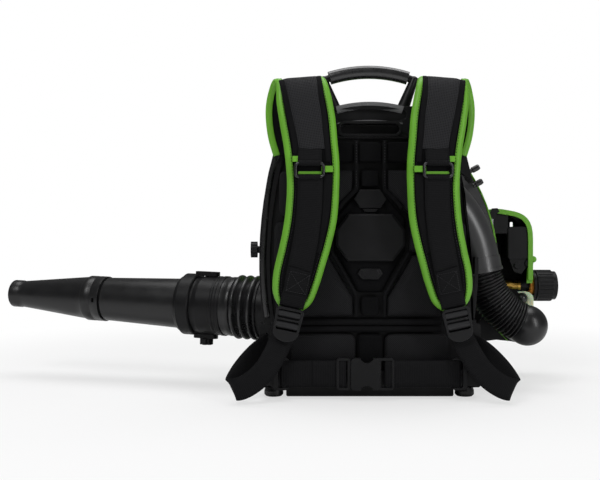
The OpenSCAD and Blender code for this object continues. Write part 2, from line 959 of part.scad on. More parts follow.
module impeller() {
    color(duct_grey) from_pads()
        difference() {
            union() {
                translate([fan.x, 0, fan.y])
                    for (i = [0:blade_count - 1])
                        rotate([0, i * 360 / blade_count, 0])
                            upright(impeller_front + 2, impeller_rear - 2)
                                blade_outline();
                axle(fan, impeller_r, impeller_rear - 3, impeller_rear);
                // Front ring that ties the blade tips
                difference() {
                    axle(fan, impeller_r, impeller_front, impeller_front + 3);
                    axle(fan, eye_r + 2, impeller_front - 1, impeller_front + 4);
                }
                // Cone that turns the air out to the blades
                translate([fan.x, impeller_rear - 2, fan.y])
                    rotate([90, 0, 0])
                        cylinder(r1 = 40, r2 = hub_r, h = 40);
            }
            axle(fan, shaft_r + 0.03, impeller_front - 1, impeller_rear + 1);
        }
}

module inlet_guard() {
    color(black) from_pads() {
        difference() {
            axle(fan, eye_r - 0.3, housing_front + 0.5, housing_front + 4);
            axle(fan, eye_r - 5, housing_front - 1, housing_front + 5);
        }
        for (r = [16, 32, 48])
            difference() {
                axle(fan, r, housing_front + 0.5, housing_front + 3);
                axle(fan, r - 2, housing_front - 1, housing_front + 5);
            }
        for (a = [0:45:315])
            translate([fan.x, housing_front + 0.5, fan.y])
                rotate([0, a, 0])
                    translate([13, 0, -1])
                        cube([eye_r - 16, 2.5, 2]);
    }
}

// ---------------- intake

header_y = [frame_rear + 1, housing_front - 0.6];

function on_duct(a) = duct_mid + duct_r * [cos(a), sin(a)];

// The upper end is closed when the bore stops short of it by some degrees
module duct_arc(r, short = 0) {
    translate([duct_mid.x, duct_y, duct_mid.y])
        rotate([90, 0, 0])
            rotate([0, 0, duct_low])
                rotate_extrude(angle = duct_high - duct_low - short, $fn = 240)
                    translate([duct_r, 0])
                        circle(r, $fn = 64);
}

// The straight cuff under the arc, where the hose pushes on
module duct_cuff(r, from, len) {
    low = on_duct(duct_low);
    translate([low.x, duct_y, low.y])
        rotate([0, 180 - duct_low, 0])
            translate([0, 0, from])
                cylinder(r = r, h = len);
}

module intake_duct() {
    // Flat header that leads from the arc's upper end down to the fan's eye
    header = [-30, 42];
    color(duct_grey) from_pads()
        difference() {
            union() {
                duct_arc(duct_d / 2);
                duct_cuff(duct_d / 2 + 1.5, -1, cuff_len - 4);
                duct_cuff(duct_d / 2 + 3, cuff_len - 5, 5);
                axle(fan, 80, header_y[0], header_y[1]);
                slab([header[0], fan.y], [header[1], 392], header_y[0], header_y[1], 6);
            }
            duct_arc(duct_d / 2 - 3, 1);
            duct_cuff(duct_d / 2 - 3.4, -2, cuff_len);
            duct_cuff(hose_plain_r + 0.3, cuff_len - hose_grip - 1, hose_grip + 2);
            axle(fan, 77, header_y[0] + 2.5, header_y[1] - 2.5);
            slab([header[0] + 3, fan.y], [header[1] - 3, 389], header_y[0] + 2.5, header_y[1] - 2.5, 4);
            slab([header[0] + 3, 354], [header[1] - 3, 389], header_y[0] + 2.5, duct_y, 4);
            axle(fan, eye_r, header_y[1] - 4, header_y[1] + 1);
        }
}

// The hose's plain ends are held inside the cuff and inside the elbow's socket
hose_grip = 12;
hose_plain_r = hose_d / 2 - 3;
hose_top = on_duct(duct_low) + (cuff_len - hose_grip) * [sin(duct_low), -cos(duct_low)];
elbow_bend = 45;
elbow_mid = [286, 109];
elbow_in = unit([0.906, -0.423]);
hose_end = elbow_mid - (elbow_bend + 2) * elbow_in;
hose_bore_r = 27;

hose_drop = [sin(duct_low), -cos(duct_low)];
HOSE = [
    hose_top + 22 * hose_drop, hose_top + 50 * hose_drop,
    hose_end - 48 * elbow_in, hose_end - 22 * elbow_in
];

// Straight over the sleeve at each end, and a curve between
hose_sleeve = 0.14;
function hose_line(t) =
    t < hose_sleeve ? hose_top + (HOSE[0] - hose_top) * t / hose_sleeve
    : t > 1 - hose_sleeve ? HOSE[3] + (hose_end - HOSE[3]) * (t - 1 + hose_sleeve) / hose_sleeve
    : bezier(HOSE, (t - hose_sleeve) / (1 - 2 * hose_sleeve));
function hose_at(t) = let (p = hose_line(t)) [p.x, duct_y, p.y];
function hose_heading(t) = unit(hose_at(min(1, t + 0.01)) - hose_at(max(0, t - 0.01)));

module intake_hose() {
    sides = 16;
    plain = hose_sleeve;
    stations = concat(
        [[0, hose_plain_r], [plain, hose_plain_r]],
        [for (i = [0:hose_ribs - 1]) let (t0 = plain + (1 - 2 * plain) * (i + 0.25) / hose_ribs)
            each [[t0, hose_plain_r], [t0 + 0.25 * (1 - 2 * plain) / hose_ribs, hose_d / 2],
                [t0 + 0.5 * (1 - 2 * plain) / hose_ribs, hose_plain_r]]],
        [[1 - plain, hose_plain_r], [1, hose_plain_r]]
    );
    color(black) from_pads()
        pipe_skin(concat(
            [for (s = stations) round_ring(hose_at(s[0]), hose_heading(s[0]), s[1], sides)],
            [for (i = [12:-1:0]) round_ring(hose_at(i / 12), hose_heading(i / 12), hose_bore_r, sides)]
        ));
}

elbow_r = 35.5;
elbow_back = 30;
socket_len = 15;

// Puts local +X along the hose's last heading, at the elbow's middle
module on_elbow() {
    translate([elbow_mid.x, duct_y, elbow_mid.y])
        rotate([0, atan2(-elbow_in.y, elbow_in.x), 0])
            children();
}

// Bend from the hose's heading round to +Y, then a straight run
module elbow_form(r, extra) {
    on_elbow() {
        translate([-elbow_bend, elbow_bend, 0])
            rotate([0, 0, -90])
                rotate_extrude(angle = 90, $fn = 96)
                    translate([elbow_bend, 0])
                        circle(r);
        translate([0, elbow_bend, 0])
            rotate([-90, 0, 0])
                cylinder(r = r, h = elbow_back + extra);
    }
}

module elbow_socket(r, from, len) {
    on_elbow()
        translate([-elbow_bend - from - len, 0, 0])
            rotate([0, 90, 0])
                cylinder(r = r, h = len);
}

module guard_bar(x, y) {
    half = sqrt(pow(elbow_r - 2.5, 2) - pow(abs(x) + 1, 2));
    translate([elbow_mid.x + x - 1, y, elbow_mid.y - half])
        cube([2, 2, 2 * half]);
}

module intake_elbow() {
    screen_y = duct_y + elbow_bend + elbow_back - 9;
    color(duct_grey) from_pads() {
        difference() {
            union() {
                elbow_form(elbow_r, 0);
                elbow_socket(elbow_r, 0, socket_len);
                axle(elbow_mid, elbow_r + 2, screen_y - 2, screen_y + 9);
            }
            elbow_form(elbow_r - 3, 1);
            elbow_socket(hose_plain_r + 0.3, -1, socket_len + 2);
        }
        // Guard across the mouth
        for (i = [-3:3])
            guard_bar(i * 8.5, screen_y);
    }
}

// Cradle that carries the elbow, screwed to the side of the base
module elbow_bracket() {
    y = [duct_y + 52, duct_y + 64];
    color(green) from_pads()
        difference() {
            union() {
                upright(y[0], y[1])
                    polygon(concat(
                        [[base_high.x + 0.2, 20], [206, 24], [256, 58], [286, 64]],
                        arc(elbow_mid, elbow_r + 0.3, 270, 150, 12),
                        [[240, 138], [218, 124], [base_high.x + 0.2, 62]]
                    ));
                // Foot along the base's side
                slab([base_high.x + 0.2, 20], [base_high.x + 8, 43], y[0] - 14, y[1] + 14, 2);
            }
            slab([186, 46], [222, 84], y[0] - 1, y[1] + 1, 10);
        }
}

// ---------------- engine

case_y = [housing_rear + 4.2, housing_rear + 92];
cyl_y = (case_y[0] + case_y[1]) / 2;
case_r = 46;
cyl_z = fan.y + 46.2;
cyl_top = cyl_z + 108;
web_r = 34;

module crankcase() {
    color(alloy) from_pads()
        difference() {
            union() {
                axle(fan, case_r, case_y[0] + 6, case_y[1] - 6);
                axle(fan, 26, case_y[0], case_y[1]);
                box([fan.x - 34, cyl_y - 34, fan.y + 20], [fan.x + 34, cyl_y + 34, cyl_z]);
                // Feet that bolt to the fan housing
                for (a = [45, 135, 225, 315]) {
                    axle(fan + 56 * [cos(a), sin(a)], 9, case_y[0], case_y[0] + 22);
                    translate([fan.x, case_y[0], fan.y])
                        rotate([0, -a, 0])
                            translate([30, 0, -5])
                                cube([26, 18, 10]);
                }
            }
            axle(fan, web_r + 3, cyl_y - 22, cyl_y + 22);
            axle(fan, shaft_r + 0.06, case_y[0] - 1, case_y[1] + 1);
            translate([fan.x, cyl_y, fan.y])
                cylinder(r = bore_r, h = 60);
        }
}

module crankshaft() {
    throw = stroke / 2;
    color(alloy) from_pads() {
        axle(fan, shaft_r, impeller_front + 4, cyl_y - 19);
        axle(fan, shaft_r, cyl_y + 19, case_y[1] + 62);
        for (y = [cyl_y - 19.5, cyl_y + 9.5])
            difference() {
                axle(fan, web_r, y, y + 10);
                // Webs are cut away beside the crank pin
                for (s = [-1, 1])
                    translate([fan.x + s * (web_r + 2), y - 1, fan.y + 26])
                        rotate([-90, 0, 0])
                            cylinder(r = 22, h = 12);
            }
        axle(fan + [0, throw], 7, cyl_y - 10, cyl_y + 10);
        // Nut on the impeller's end
        translate([fan.x, impeller_front + 4, fan.y])
            rotate([90, 0, 0])
                cylinder(r = 11, h = 8, $fn = 6);
    }
}

module cylinder_block() {
    pitch = (cyl_top - cyl_z - 12) / fin_count;
    translate([fan.x, cyl_y, cyl_z + 0.2])
        cylinder(r = bore_r + 8, h = cyl_top - cyl_z);
    for (i = [0:fin_count - 1])
        translate([fan.x, cyl_y, cyl_z + 10 + i * pitch])
            linear_extrude(2.4)
                rounded_rect([-48 + (i < 2 ? 8 : 0), -40], [48 - (i < 2 ? 8 : 0), 36], 16);
    translate([fan.x, cyl_y, cyl_z + 0.2])
        linear_extrude(5)
            rounded_rect([-34, -34], [34, 34], 8);
    // Exhaust and inlet ports
    box([fan.x - 58, cyl_y - 18, cyl_z + 22], [fan.x, cyl_y + 18, cyl_z + 58]);
    box([fan.x, cyl_y - 16, cyl_z + 10], [fan.x + 62, cyl_y + 16, cyl_z + 44]);
}

module cylinder_node() {
    color(alloy) from_pads()
        difference() {
            cylinder_block();
            translate([fan.x, cyl_y, cyl_z - 1])
                cylinder(r = bore_r, h = cyl_top - cyl_z - 9);
            translate([fan.x, cyl_y, cyl_top - 14])
                cylinder(r = 6.9, h = 30);
        }
}

piston_top = cyl_top - 16;

module piston() {
    color(alloy) from_pads()
        difference() {
            translate([fan.x, cyl_y, piston_top - 40])
                cylinder(r = bore_r - 0.06, h = 40);
            translate([fan.x, cyl_y, piston_top - 41])
                cylinder(r = bore_r - 4, h = 35);
            // Ring grooves
            for (z = [6, 11])
                translate([fan.x, cyl_y, piston_top - z])
                    difference() {
                        cylinder(r = bore_r + 1, h = 1.6);
                        translate([0, 0, -1])
                            cylinder(r = bore_r - 1.6, h = 4);
                    }
        }
}

module spark_plug() {
    color(alloy) from_pads()
        translate([fan.x, cyl_y, cyl_top])
            rotate_extrude()
                polygon([[0, -13], [6.8, -13], [6.8, 0.3], [10.5, 0.3], [10.5, 9], [6.5, 11],
                    [6.5, 24], [4, 28], [4, 34], [0, 34]]);
}

wheel_y = [case_y[1] + 4, case_y[1] + 24];

module flywheel() {
    color(alloy) from_pads()
        difference() {
            union() {
                axle(fan, 52, wheel_y[0], wheel_y[0] + 14);
                for (i = [0:11])
                    translate([fan.x, wheel_y[0] + 10, fan.y])
                        rotate([0, i * 30, 0])
                            translate([26, 0, -1.2])
                                cube([25, 12, 2.4]);
                // Starter cup
                axle(fan, 22, wheel_y[0], wheel_y[1] + 14);
            }
            axle(fan, shaft_r + 0.03, wheel_y[0] - 1, wheel_y[1] + 16);
            axle(fan, 17, wheel_y[1], wheel_y[1] + 16);
        }
}

starter_y = [case_y[1] + 1, case_y[1] + 72];
eyelet = [fan.x - 50, starter_y[1] - 22, fan.y + 34];
rope_r = 2.2;

module starter_cover() {
    color(green) from_pads()
        difference() {
            union() {
                axle(fan, 72, starter_y[0], starter_y[1] - 16);
                translate([fan.x, starter_y[1] - 16, fan.y])
                    rotate([-90, 0, 0])
                        cylinder(r1 = 72, r2 = 52, h = 16);
                // Boss for the rope's eyelet
                translate(eyelet)
                    rotate([0, -70, 0])
                        cylinder(r = 9, h = 38);
            }
            axle(fan, 68, starter_y[0] - 1, starter_y[1] - 18);
            translate([fan.x, starter_y[1] - 18.1, fan.y])
                rotate([-90, 0, 0])
                    cylinder(r1 = 68, r2 = 50, h = 14);
            // Louvres round the rim and slots in the end
            for (a = [0:20:340])
                translate([fan.x, starter_y[0] + 14, fan.y])
                    rotate([0, a, 0])
                        translate([60, 0, -3.5])
                            cube([20, 30, 7]);
            for (a = [0:30:330])
                translate([fan.x, starter_y[1] - 12, fan.y])
                    rotate([0, a, 0])
                        translate([18, 0, -2.5])
                            cube([28, 20, 5]);
            translate(eyelet + [10, 0, -3.6])
                rotate([0, -70, 0])
                    cylinder(r = rope_r + 0.4, h = 60);
        }
}

// The rope leaves the cover's eyelet up and to the left
rope_dir = [-sin(70), 0, cos(70)];
rope_from = eyelet + 38.2 * rope_dir;
grip_from = rope_from + 10 * rope_dir;

module along_rope(from) {
    translate(from)
        rotate([0, -70, 0])
            children();
}

module starter_rope() {
    color(webbing_black) from_pads()
        along_rope(rope_from)
            translate([0, 0, -12])
                cylinder(r = rope_r, h = 21.8, $fn = 24);
}

module starter_handle() {
    color(black) from_pads()
        along_rope(grip_from) {
            rotate_extrude()
                polygon([[0, 0], [7, 0], [8, 6], [8, 14], [0, 14]]);
            translate([0, 0, 20])
                rotate([0, 90, 0])
                    translate([0, 0, -32]) {
                        translate([0, 0, 8])
                            cylinder(r = 9, h = 48);
                        translate([0, 0, 8])
                            sphere(9);
                        translate([0, 0, 56])
                            sphere(9);
                    }
        }
}

// ---------------- covers

cover_y = [housing_rear + 4, housing_rear + 130];
cover_mid = [-80, 210];
cover_r = 330;
cover_left = -138;
cover_low = 166;

function cover_line(i, low = cover_low) = concat(
    [[243 - i, low]],
    arc(cover_mid, cover_r - i, 0, 33, 8),
    arc([150, 372], 50 - i, 34, 90, 5),
    arc([cover_left + 70, 352], 70 - i, 90, 180, 6),
    [[cover_left + i, low]]
);

lobe_y = [cover_y[0] + 22, cover_y[0] + 96];
lobe_low = [236, 186];
lobe_high = [323, 318];

module engine_cover() {
    color(green) from_pads()
        difference() {
            union() {
                upright(cover_y[0], cover_y[1])
                    polygon(cover_line(0));
                // Hood over the air cleaner
                slab(lobe_low, lobe_high, lobe_y[0], lobe_y[1], 24);
                slab([312, 214], [332, 232], lobe_y[0] + 4, lobe_y[0] + 20, 6);
            }
            upright(cover_y[0] - 1, cover_y[1] - cover_wall)
                polygon(cover_line(cover_wall, cover_low - 10));
            // Air slots in the rear wall, round the starter
            axle(fan, 72.2, cover_y[1] - 10, cover_y[1] + 5);
            for (i = [0:7])
                for (s = [-1, 1])
                    slab([fan.x + s * 112 - 24, 176 + i * 20], [fan.x + s * 112 + 24, 184 + i * 20],
                        cover_y[1] - 10, cover_y[1] + 5, 3.5);
            // The hood is open at the front and hollow
            slab(lobe_low + [-40, 6], lobe_high - [6, 6], lobe_y[0] - 1, lobe_y[1] - cover_wall, 19);
            // Windows through the hood's rear wall
            for (p = [[278, 290], [300, 296]])
                slab(p - [5, 5], p + [9, 6], lobe_y[1] - 10, lobe_y[1] + 5, 3);
            box([lobe_low.x - 10, lobe_y[0] - 1, lobe_low.y - 1],
                [lobe_low.x + 56, lobe_y[1] + 1, lobe_low.y + 20]);
        }
}

module cowl_grille() {
    y = [cover_y[0] + 1, cover_y[0] + 8];
    color(duct_grey) from_pads()
        difference() {
            upright(y[0], y[1])
                difference() {
                    polygon(cover_line(cover_wall + 0.2));
                    polygon(concat([[230, 100]], arc(duct_mid, 196, 0, 50, 10),
                        [[210, 460], [-300, 460], [-300, 100]]));
                }
            // Slots between the slats
            for (i = [0:11])
                translate([duct_mid.x, y[0] - 1, duct_mid.y])
                    rotate([0, -i * 3.7, 0])
                        translate([204, 0, -2.6])
                            cube([30 + i * 0.6, 12, 5.2]);
        }
}

// ---------------- exhaust, intake and fuel

module muffler() {
    x = [fan.x - 122, fan.x - 58.3];
    color(duct_grey) from_pads() {
        difference() {
            slab([x[0], cyl_z + 4], [x[1], cyl_z + 82], cyl_y - 38, cyl_y + 36, 12);
            for (i = [0:4], j = [0:2])
                axle([x[0] + 14 + i * 9, cyl_z + 24 + j * 12], 2.4, cyl_y + 30, cyl_y + 40);
        }
        // Exhaust stub at the rear
        axle([x[0] + 24, cyl_z + 66], 8, cyl_y + 35, cyl_y + 50);
    }
}

carb_x = fan.x + 62.2;

module carburettor() {
    color(alloy) from_pads() {
        // Inlet pipe from the cylinder to the carburettor body and on to the air cleaner
        translate([carb_x, cyl_y, cyl_z + 27])
            rotate([0, 90, 0])
                difference() {
                    cylinder(r = 17, h = 204 - carb_x);
                    translate([0, 0, -1])
                        cylinder(r = 12, h = 300);
                }
        difference() {
            box([204, cyl_y - 21, cyl_z - 2], [246, cyl_y + 21, cyl_z + 40.5]);
            translate([200, cyl_y, cyl_z + 27])
                rotate([0, 90, 0])
                    cylinder(r = 11, h = 60);
        }
        // Pump cover, and the float bowl's drain
        axle([217, cyl_z + 20], 11, cyl_y - 31, cyl_y - 20);
        translate([222, cyl_y, cyl_z - 10])
            cylinder(r = 6, h = 9);
    }
}

cleaner_low = [273, 225];
cleaner_high = [312, 286];

module air_cleaner() {
    color(black) from_pads()
        difference() {
            union() {
                slab(cleaner_low, cleaner_high, lobe_y[0] + 2, lobe_y[1] - 8, 6);
                box([246.3, cyl_y - 19, cyl_z + 2], [274, cyl_y + 19, cyl_z + 38]);
            }
            // Ribbed front face
            for (i = [0:5])
                slab(cleaner_low + [6, 7 + i * 8], [cleaner_high.x - 6, cleaner_low.y + 11 + i * 8],
                    lobe_y[0] + 1, lobe_y[0] + 4.5, 1.9);
        }
}

tank_y = [186, 286];
tank_low = [-20, base_top + 0.3];
wing_y = 204;
neck = [286, 174];
cap_x = [328, 372];
cap_r = 30;
neck_y = 224;

module fuel_tank() {
    color([0.78, 0.84, 0.72, 0.8]) from_pads() {
        difference() {
            union() {
                slab(tank_low, [248, 146], tank_y[0], tank_y[1], 16);
                slab([200, 84], [326.5, 163], wing_y, tank_y[1] - 10, 14);
            }
            // Strap channel across the tank
            box([90, tank_y[0] - 1, 138], [116, tank_y[1] + 1, 150]);
            // Seat of the primer bulb, deep enough for its stroke
            axle(primer, primer_r + 0.3, wing_y - 1, wing_y + 6);
        }
    }
    color([0.72, 0.5, 0.16]) from_pads()
        translate([272, neck_y, neck.y])
            rotate([0, 90, 0])
                rotate_extrude()
                    polygon([[0, 0], [9, 0], [9, 5], [7, 6], [7, 12], [9.5, 13], [9.5, 24], [0, 24]]);
    color(duct_grey) from_pads() {
        translate([295.9, neck_y, neck.y])
            rotate([0, 90, 0])
                cylinder(r = 8.5, h = 26.2);
        box([276, neck_y - 7, 158], [318, neck_y + 7, neck.y - 4]);
    }
    color([0.85, 0.45, 0.08]) from_pads()
        translate([322, neck_y, neck.y])
            rotate([0, 90, 0])
                cylinder(r = 19, h = 5);
}

module fuel_cap() {
    color(black) from_pads()
        translate([cap_x[0] - 0.7, neck_y, neck.y])
            rotate([0, 90, 0])
                difference() {
                    union() {
                        cylinder(r = cap_r - 3, h = cap_x[1] - cap_x[0]);
                        translate([0, 0, 6])
                            cylinder(r = cap_r, h = 30);
                    }
                    // Grip flutes round the rim
                    for (a = [0:15:345])
                        rotate([0, 0, a])
                            translate([cap_r + 1, 0, 8])
                                cylinder(r = 2.6, h = 40, $fn = 24);
                    translate([0, 0, cap_x[1] - cap_x[0] - 4])
                        cylinder(r = cap_r - 9, h = 10);
                }
}

primer = [304, 150];
primer_r = 11;

module primer_bulb() {
    dome = arc([0, 0], primer_r, 0, 90, 8);
    color(soft_black) from_pads()
        translate([primer.x, wing_y + 0.8, primer.y])
            rotate([90, 0, 0])
                rotate_extrude()
                    polygon(concat([[0, 0]], dome));
}

choke_at = [292, 218.6];

// Hangs from the air cleaner's underside
module choke_lever() {
    y = lobe_y[0] + 8;
    color(black) from_pads() {
        axle(choke_at, 6, y, y + 14);
        upright(y, y + 5)
            translate(choke_at) {
                translate([-3.5, -15])
                    square([7, 15]);
                translate([0, -15])
                    circle(5.5);
            }
    }
}

knob_z = 245;

module frame_knob() {
    color(black) from_pads()
        translate([-frame_half_w - 0.4, 26, knob_z])
            rotate([0, -90, 0])
                difference() {
                    union() {
                        cylinder(r = 6, h = 4);
                        translate([0, 0, 3])
                            cylinder(r = 13.5, h = 11);
                    }
                    for (a = [0:30:330])
                        rotate([0, 0, a])
                            translate([14.5, 0, 2])
                                cylinder(r = 2.2, h = 20, $fn = 24);
                }
}

// ---------------- blower tube

module bellows() {
    pitch = (bellows_to - bellows_from - 12) / bellows_ribs;
    top = bellows_d / 2;
    low = top - 8;
    wall = 2;
    ridge = [for (i = [0:bellows_ribs - 1]) let (z = 6 + i * pitch)
        each [[low, z], [top - 1, z + pitch * 0.38], [top - 1, z + pitch * 0.56], [low, z + pitch * 0.94]]];
    color(soft_black) from_pads()
        on_tube(bellows_from)
            rotate_extrude()
                polygon(concat(
                    [[low - 2, 0.2], [low + 1, 0.2], [low + 1, 5]], ridge,
                    [[low + 1, bellows_to - bellows_from - 5], [low + 1, bellows_to - bellows_from - 0.2],
                        [low - wall, bellows_to - bellows_from - 0.2]],
                    [for (i = [len(ridge) - 1:-1:0]) ridge[i] - [wall, 0]]
                ));
}

cuff_r = bellows_d / 2 - 4;

swivel_gap = 0.3;

module tube_cuff() {
    len = cuff_to - bellows_to;
    wall = 3;
    end_r = tube_d / 2 + 3.5;
    color(black) from_pads()
        on_tube(bellows_to)
            rotate_extrude()
                polygon([
                    [cuff_r - wall, 0], [cuff_r + 1, 0], [cuff_r + 1, 6], [cuff_r - 0.5, 7.5],
                    [cuff_r - 0.5, 12], [cuff_r + 0.5, 13], [cuff_r + 0.5, 16], [cuff_r - 0.8, 17.5], [cuff_r - 0.8, 44],
                    [end_r, 52], [end_r, len],
                    [tube_d / 2 + swivel_gap, len], [tube_d / 2 + swivel_gap, 40], [cuff_r - wall - 1, 34]
                ]);
}

clamp_in = tube_d / 2 + 3.8;
lug_r = [cuff_r - 0.4, 60.5];

module clamp_lug(side) {
    translate([side * lug_r[0], 0, (lug_from + lug_to) / 2])
        rotate([0, side * 90, 0])
            linear_extrude(lug_r[1] - lug_r[0])
                rounded_rect([-(lug_to - lug_from) / 2, -9], [(lug_to - lug_from) / 2, 9], 7);
}

module tube_clamp() {
    len = clamp_to - clamp_from;
    bar = clamp_in + 3;
    color(black) from_pads()
        difference() {
            union() {
                on_tube(clamp_from)
                    rotate_extrude()
                        polygon([[clamp_in, 0], [bar, 0], [bar + 2, 2], [bar + 2, len - 8], [bar, len - 6],
                            [bar - 4, len], [tube_d / 2 + swivel_gap, len],
                            [tube_d / 2 + swivel_gap, len - 11], [clamp_in, len - 11.7]]);
                on_tube() {
                    clamp_lug(1);
                    clamp_lug(-1);
                }
            }
            // The band is split under the lower lug, and the lug is drilled for the knob's screw
            on_tube(clamp_from)
                translate([-(bar + 20), -1.2, 12])
                    cube([23, 2.4, len]);
            on_tube(knob_along)
                translate([-80, 0, 0])
                    rotate([0, 90, 0])
                        cylinder(r = 3.1, h = 30);
        }
}

knob_along = 124;

module clamp_knob() {
    // Finger knob on a short screw, square to the tube under the lower lug
    color(black) from_pads()
        on_tube(knob_along)
            rotate([0, -90, 0]) {
                translate([0, 0, cuff_r + 0.5])
                    cylinder(r = 2.8, h = 12);
                difference() {
                    translate([0, 0, lug_r[1] + 0.3])
                        cylinder(r = 12, h = 11);
                    for (a = [0:60:300])
                        rotate([0, 0, a])
                            translate([13.5, 0, lug_r[1]])
                                cylinder(r = 3.6, h = 20, $fn = 24);
                }
            }
}

module blower_tube() {
    len = tube_to - tube_from;
    r0 = tube_d / 2;
    r1 = tube_tip_d / 2;
    socket = tube_to - nozzle_from;
    color(black) from_pads()
        on_tube(tube_from)
            rotate_extrude()
                polygon([
                    [r0 - tube_wall, 0], [r0, 0], [r0, 42], [r0 - 1.5, 44],
                    [r1 + 0.6, len - socket - 4], [r1 - 1.8, len - socket - 1], [r1 - 1.8, len],
                    [r1 - 4.2, len], [r1 - 4.2, len - socket - 1], [r0 - 1.5 - tube_wall, 44]
                ]);
}

module nozzle() {
    len = nozzle_to - nozzle_from;
    r0 = tube_tip_d / 2;
    r1 = nozzle_tip_d / 2;
    socket = tube_to - nozzle_from;
    mouth = 18;
    color(black) from_pads()
        on_tube(nozzle_from)
            difference() {
                rotate_extrude()
                    polygon([
                        [r0 - 1.5, 0], [r0 + 2.6, 0], [r0 + 2.6, 15], [r0 + 1.2, 16.5], [r0 + 1.2, 19],
                        [r0 + 2.6, 20.5], [r0 + 2.6, 34], [r0, 40],
                        [r1 - 1.2, len - mouth - 2], [r1, len - mouth], [r1, len],
                        [r1 - tube_wall, len], [r1 - tube_wall, len - mouth],
                        [r0 - 4.5, socket + 6], [r0 - 1.5, socket + 1]
                    ]);
                // Bayonet slots on both sides
                for (s = [0, 1])
                    rotate([0, 0, 90 + 180 * s])
                        translate([r0 - 4, -4, 6])
                            cube([10, 8, 5]);
            }
}

// ---------------- assembly

base_frame();
rubber_feet();
back_frame();
handle_bar();
handle_grip();
upper_pad();
spine_pad();
mesh_pads();
side_pads();
badge_plate();
lumbar_pad();
shoulder_strap_left();
shoulder_strap_right();
strap_rings();
strap_webbing();
adjuster_left();
adjuster_right();
tail_webbing_left();
tail_webbing_right();
belt_left();
belt_right();
belt_loops();
buckle_socket();
buckle_plug();
buckle_tab_upper();
buckle_tab_lower();
vibration_mounts();
fan_housing_front();
fan_housing_rear();
impeller();
inlet_guard();
intake_duct();
intake_hose();
intake_elbow();
elbow_bracket();
crankcase();
crankshaft();
cylinder_node();  // cylinder
piston();
spark_plug();
flywheel();
starter_cover();
starter_handle();
starter_rope();
engine_cover();
cowl_grille();
muffler();
carburettor();
air_cleaner();
fuel_tank();
fuel_cap();
primer_bulb();
choke_lever();
frame_knob();
bellows();
tube_cuff();
tube_clamp();
clamp_knob();
blower_tube();
nozzle();
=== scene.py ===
"""Backpack leaf blower: the finishes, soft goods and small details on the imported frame."""
import functools
import json
import math

import bmesh
import bpy
import numpy as np
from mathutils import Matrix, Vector


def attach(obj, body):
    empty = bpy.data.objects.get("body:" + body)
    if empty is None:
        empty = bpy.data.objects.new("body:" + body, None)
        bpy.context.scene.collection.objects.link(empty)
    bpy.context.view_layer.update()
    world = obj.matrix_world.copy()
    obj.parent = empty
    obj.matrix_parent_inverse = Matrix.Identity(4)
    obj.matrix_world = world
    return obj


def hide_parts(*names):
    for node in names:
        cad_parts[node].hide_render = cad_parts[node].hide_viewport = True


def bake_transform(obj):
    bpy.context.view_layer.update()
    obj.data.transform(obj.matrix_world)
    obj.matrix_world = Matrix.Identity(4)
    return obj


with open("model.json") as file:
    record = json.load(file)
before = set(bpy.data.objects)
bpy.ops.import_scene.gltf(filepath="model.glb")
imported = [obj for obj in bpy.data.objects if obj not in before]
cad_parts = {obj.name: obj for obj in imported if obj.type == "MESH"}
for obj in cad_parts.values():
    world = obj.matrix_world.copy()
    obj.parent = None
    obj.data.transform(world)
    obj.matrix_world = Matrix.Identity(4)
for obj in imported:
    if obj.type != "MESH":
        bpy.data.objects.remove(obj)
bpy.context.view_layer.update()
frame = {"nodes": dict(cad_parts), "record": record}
NODES = frame["nodes"]


# ---------------- places
# Sizes are millimetres unless a name or comment says otherwise.
# Depth is counted from the front of the back pads.
PADS_FRONT = -145


def at(x, depth, z):
    """A point in the shared frame, in metres."""
    return Vector((x, depth + PADS_FRONT, z)) / 1000


def shown(name, data):
    """A new object in the scene."""
    thing = bpy.data.objects.new(name, data)
    bpy.context.scene.collection.objects.link(thing)
    return thing


# ---------------- node trees
class Nodes:
    """A node tree, with short calls for the nodes used here."""

    def __init__(self, owner):
        owner.use_nodes = True
        self.tree = owner.node_tree

    def add(self, kind, inputs=(), **settings):
        node = self.tree.nodes.new("ShaderNode" + kind)
        for key, value in settings.items():
            setattr(node, key, value)
        for key, value in dict(inputs).items():
            self.put(node, key, value)
        return node

    def put(self, node, key, value):
        if isinstance(value, bpy.types.NodeSocket):
            self.tree.links.new(value, node.inputs[key])
        else:
            node.inputs[key].default_value = value

    def math(self, operation, a, b=0.0, c=0.0):
        return self.add("Math", {0: a, 1: b, 2: c}, operation=operation).outputs[0]

    def spread(self, value, low, high, from_low=0.3, from_high=0.7, **settings):
        """The value's range from from_low to from_high, stretched to run from low to high."""
        inputs = {"Value": value, "From Min": from_low, "From Max": from_high, "To Min": low, "To Max": high}
        return self.add("MapRange", inputs, **settings).outputs["Result"]

    def end_with(self, output, factor, first, second):
        """Mixes two shaders into the tree's output."""
        mix = self.add("MixShader", {0: factor, 1: first.outputs[0], 2: second.outputs[0]})
        self.put(self.tree.nodes[output], "Surface", mix.outputs[0])


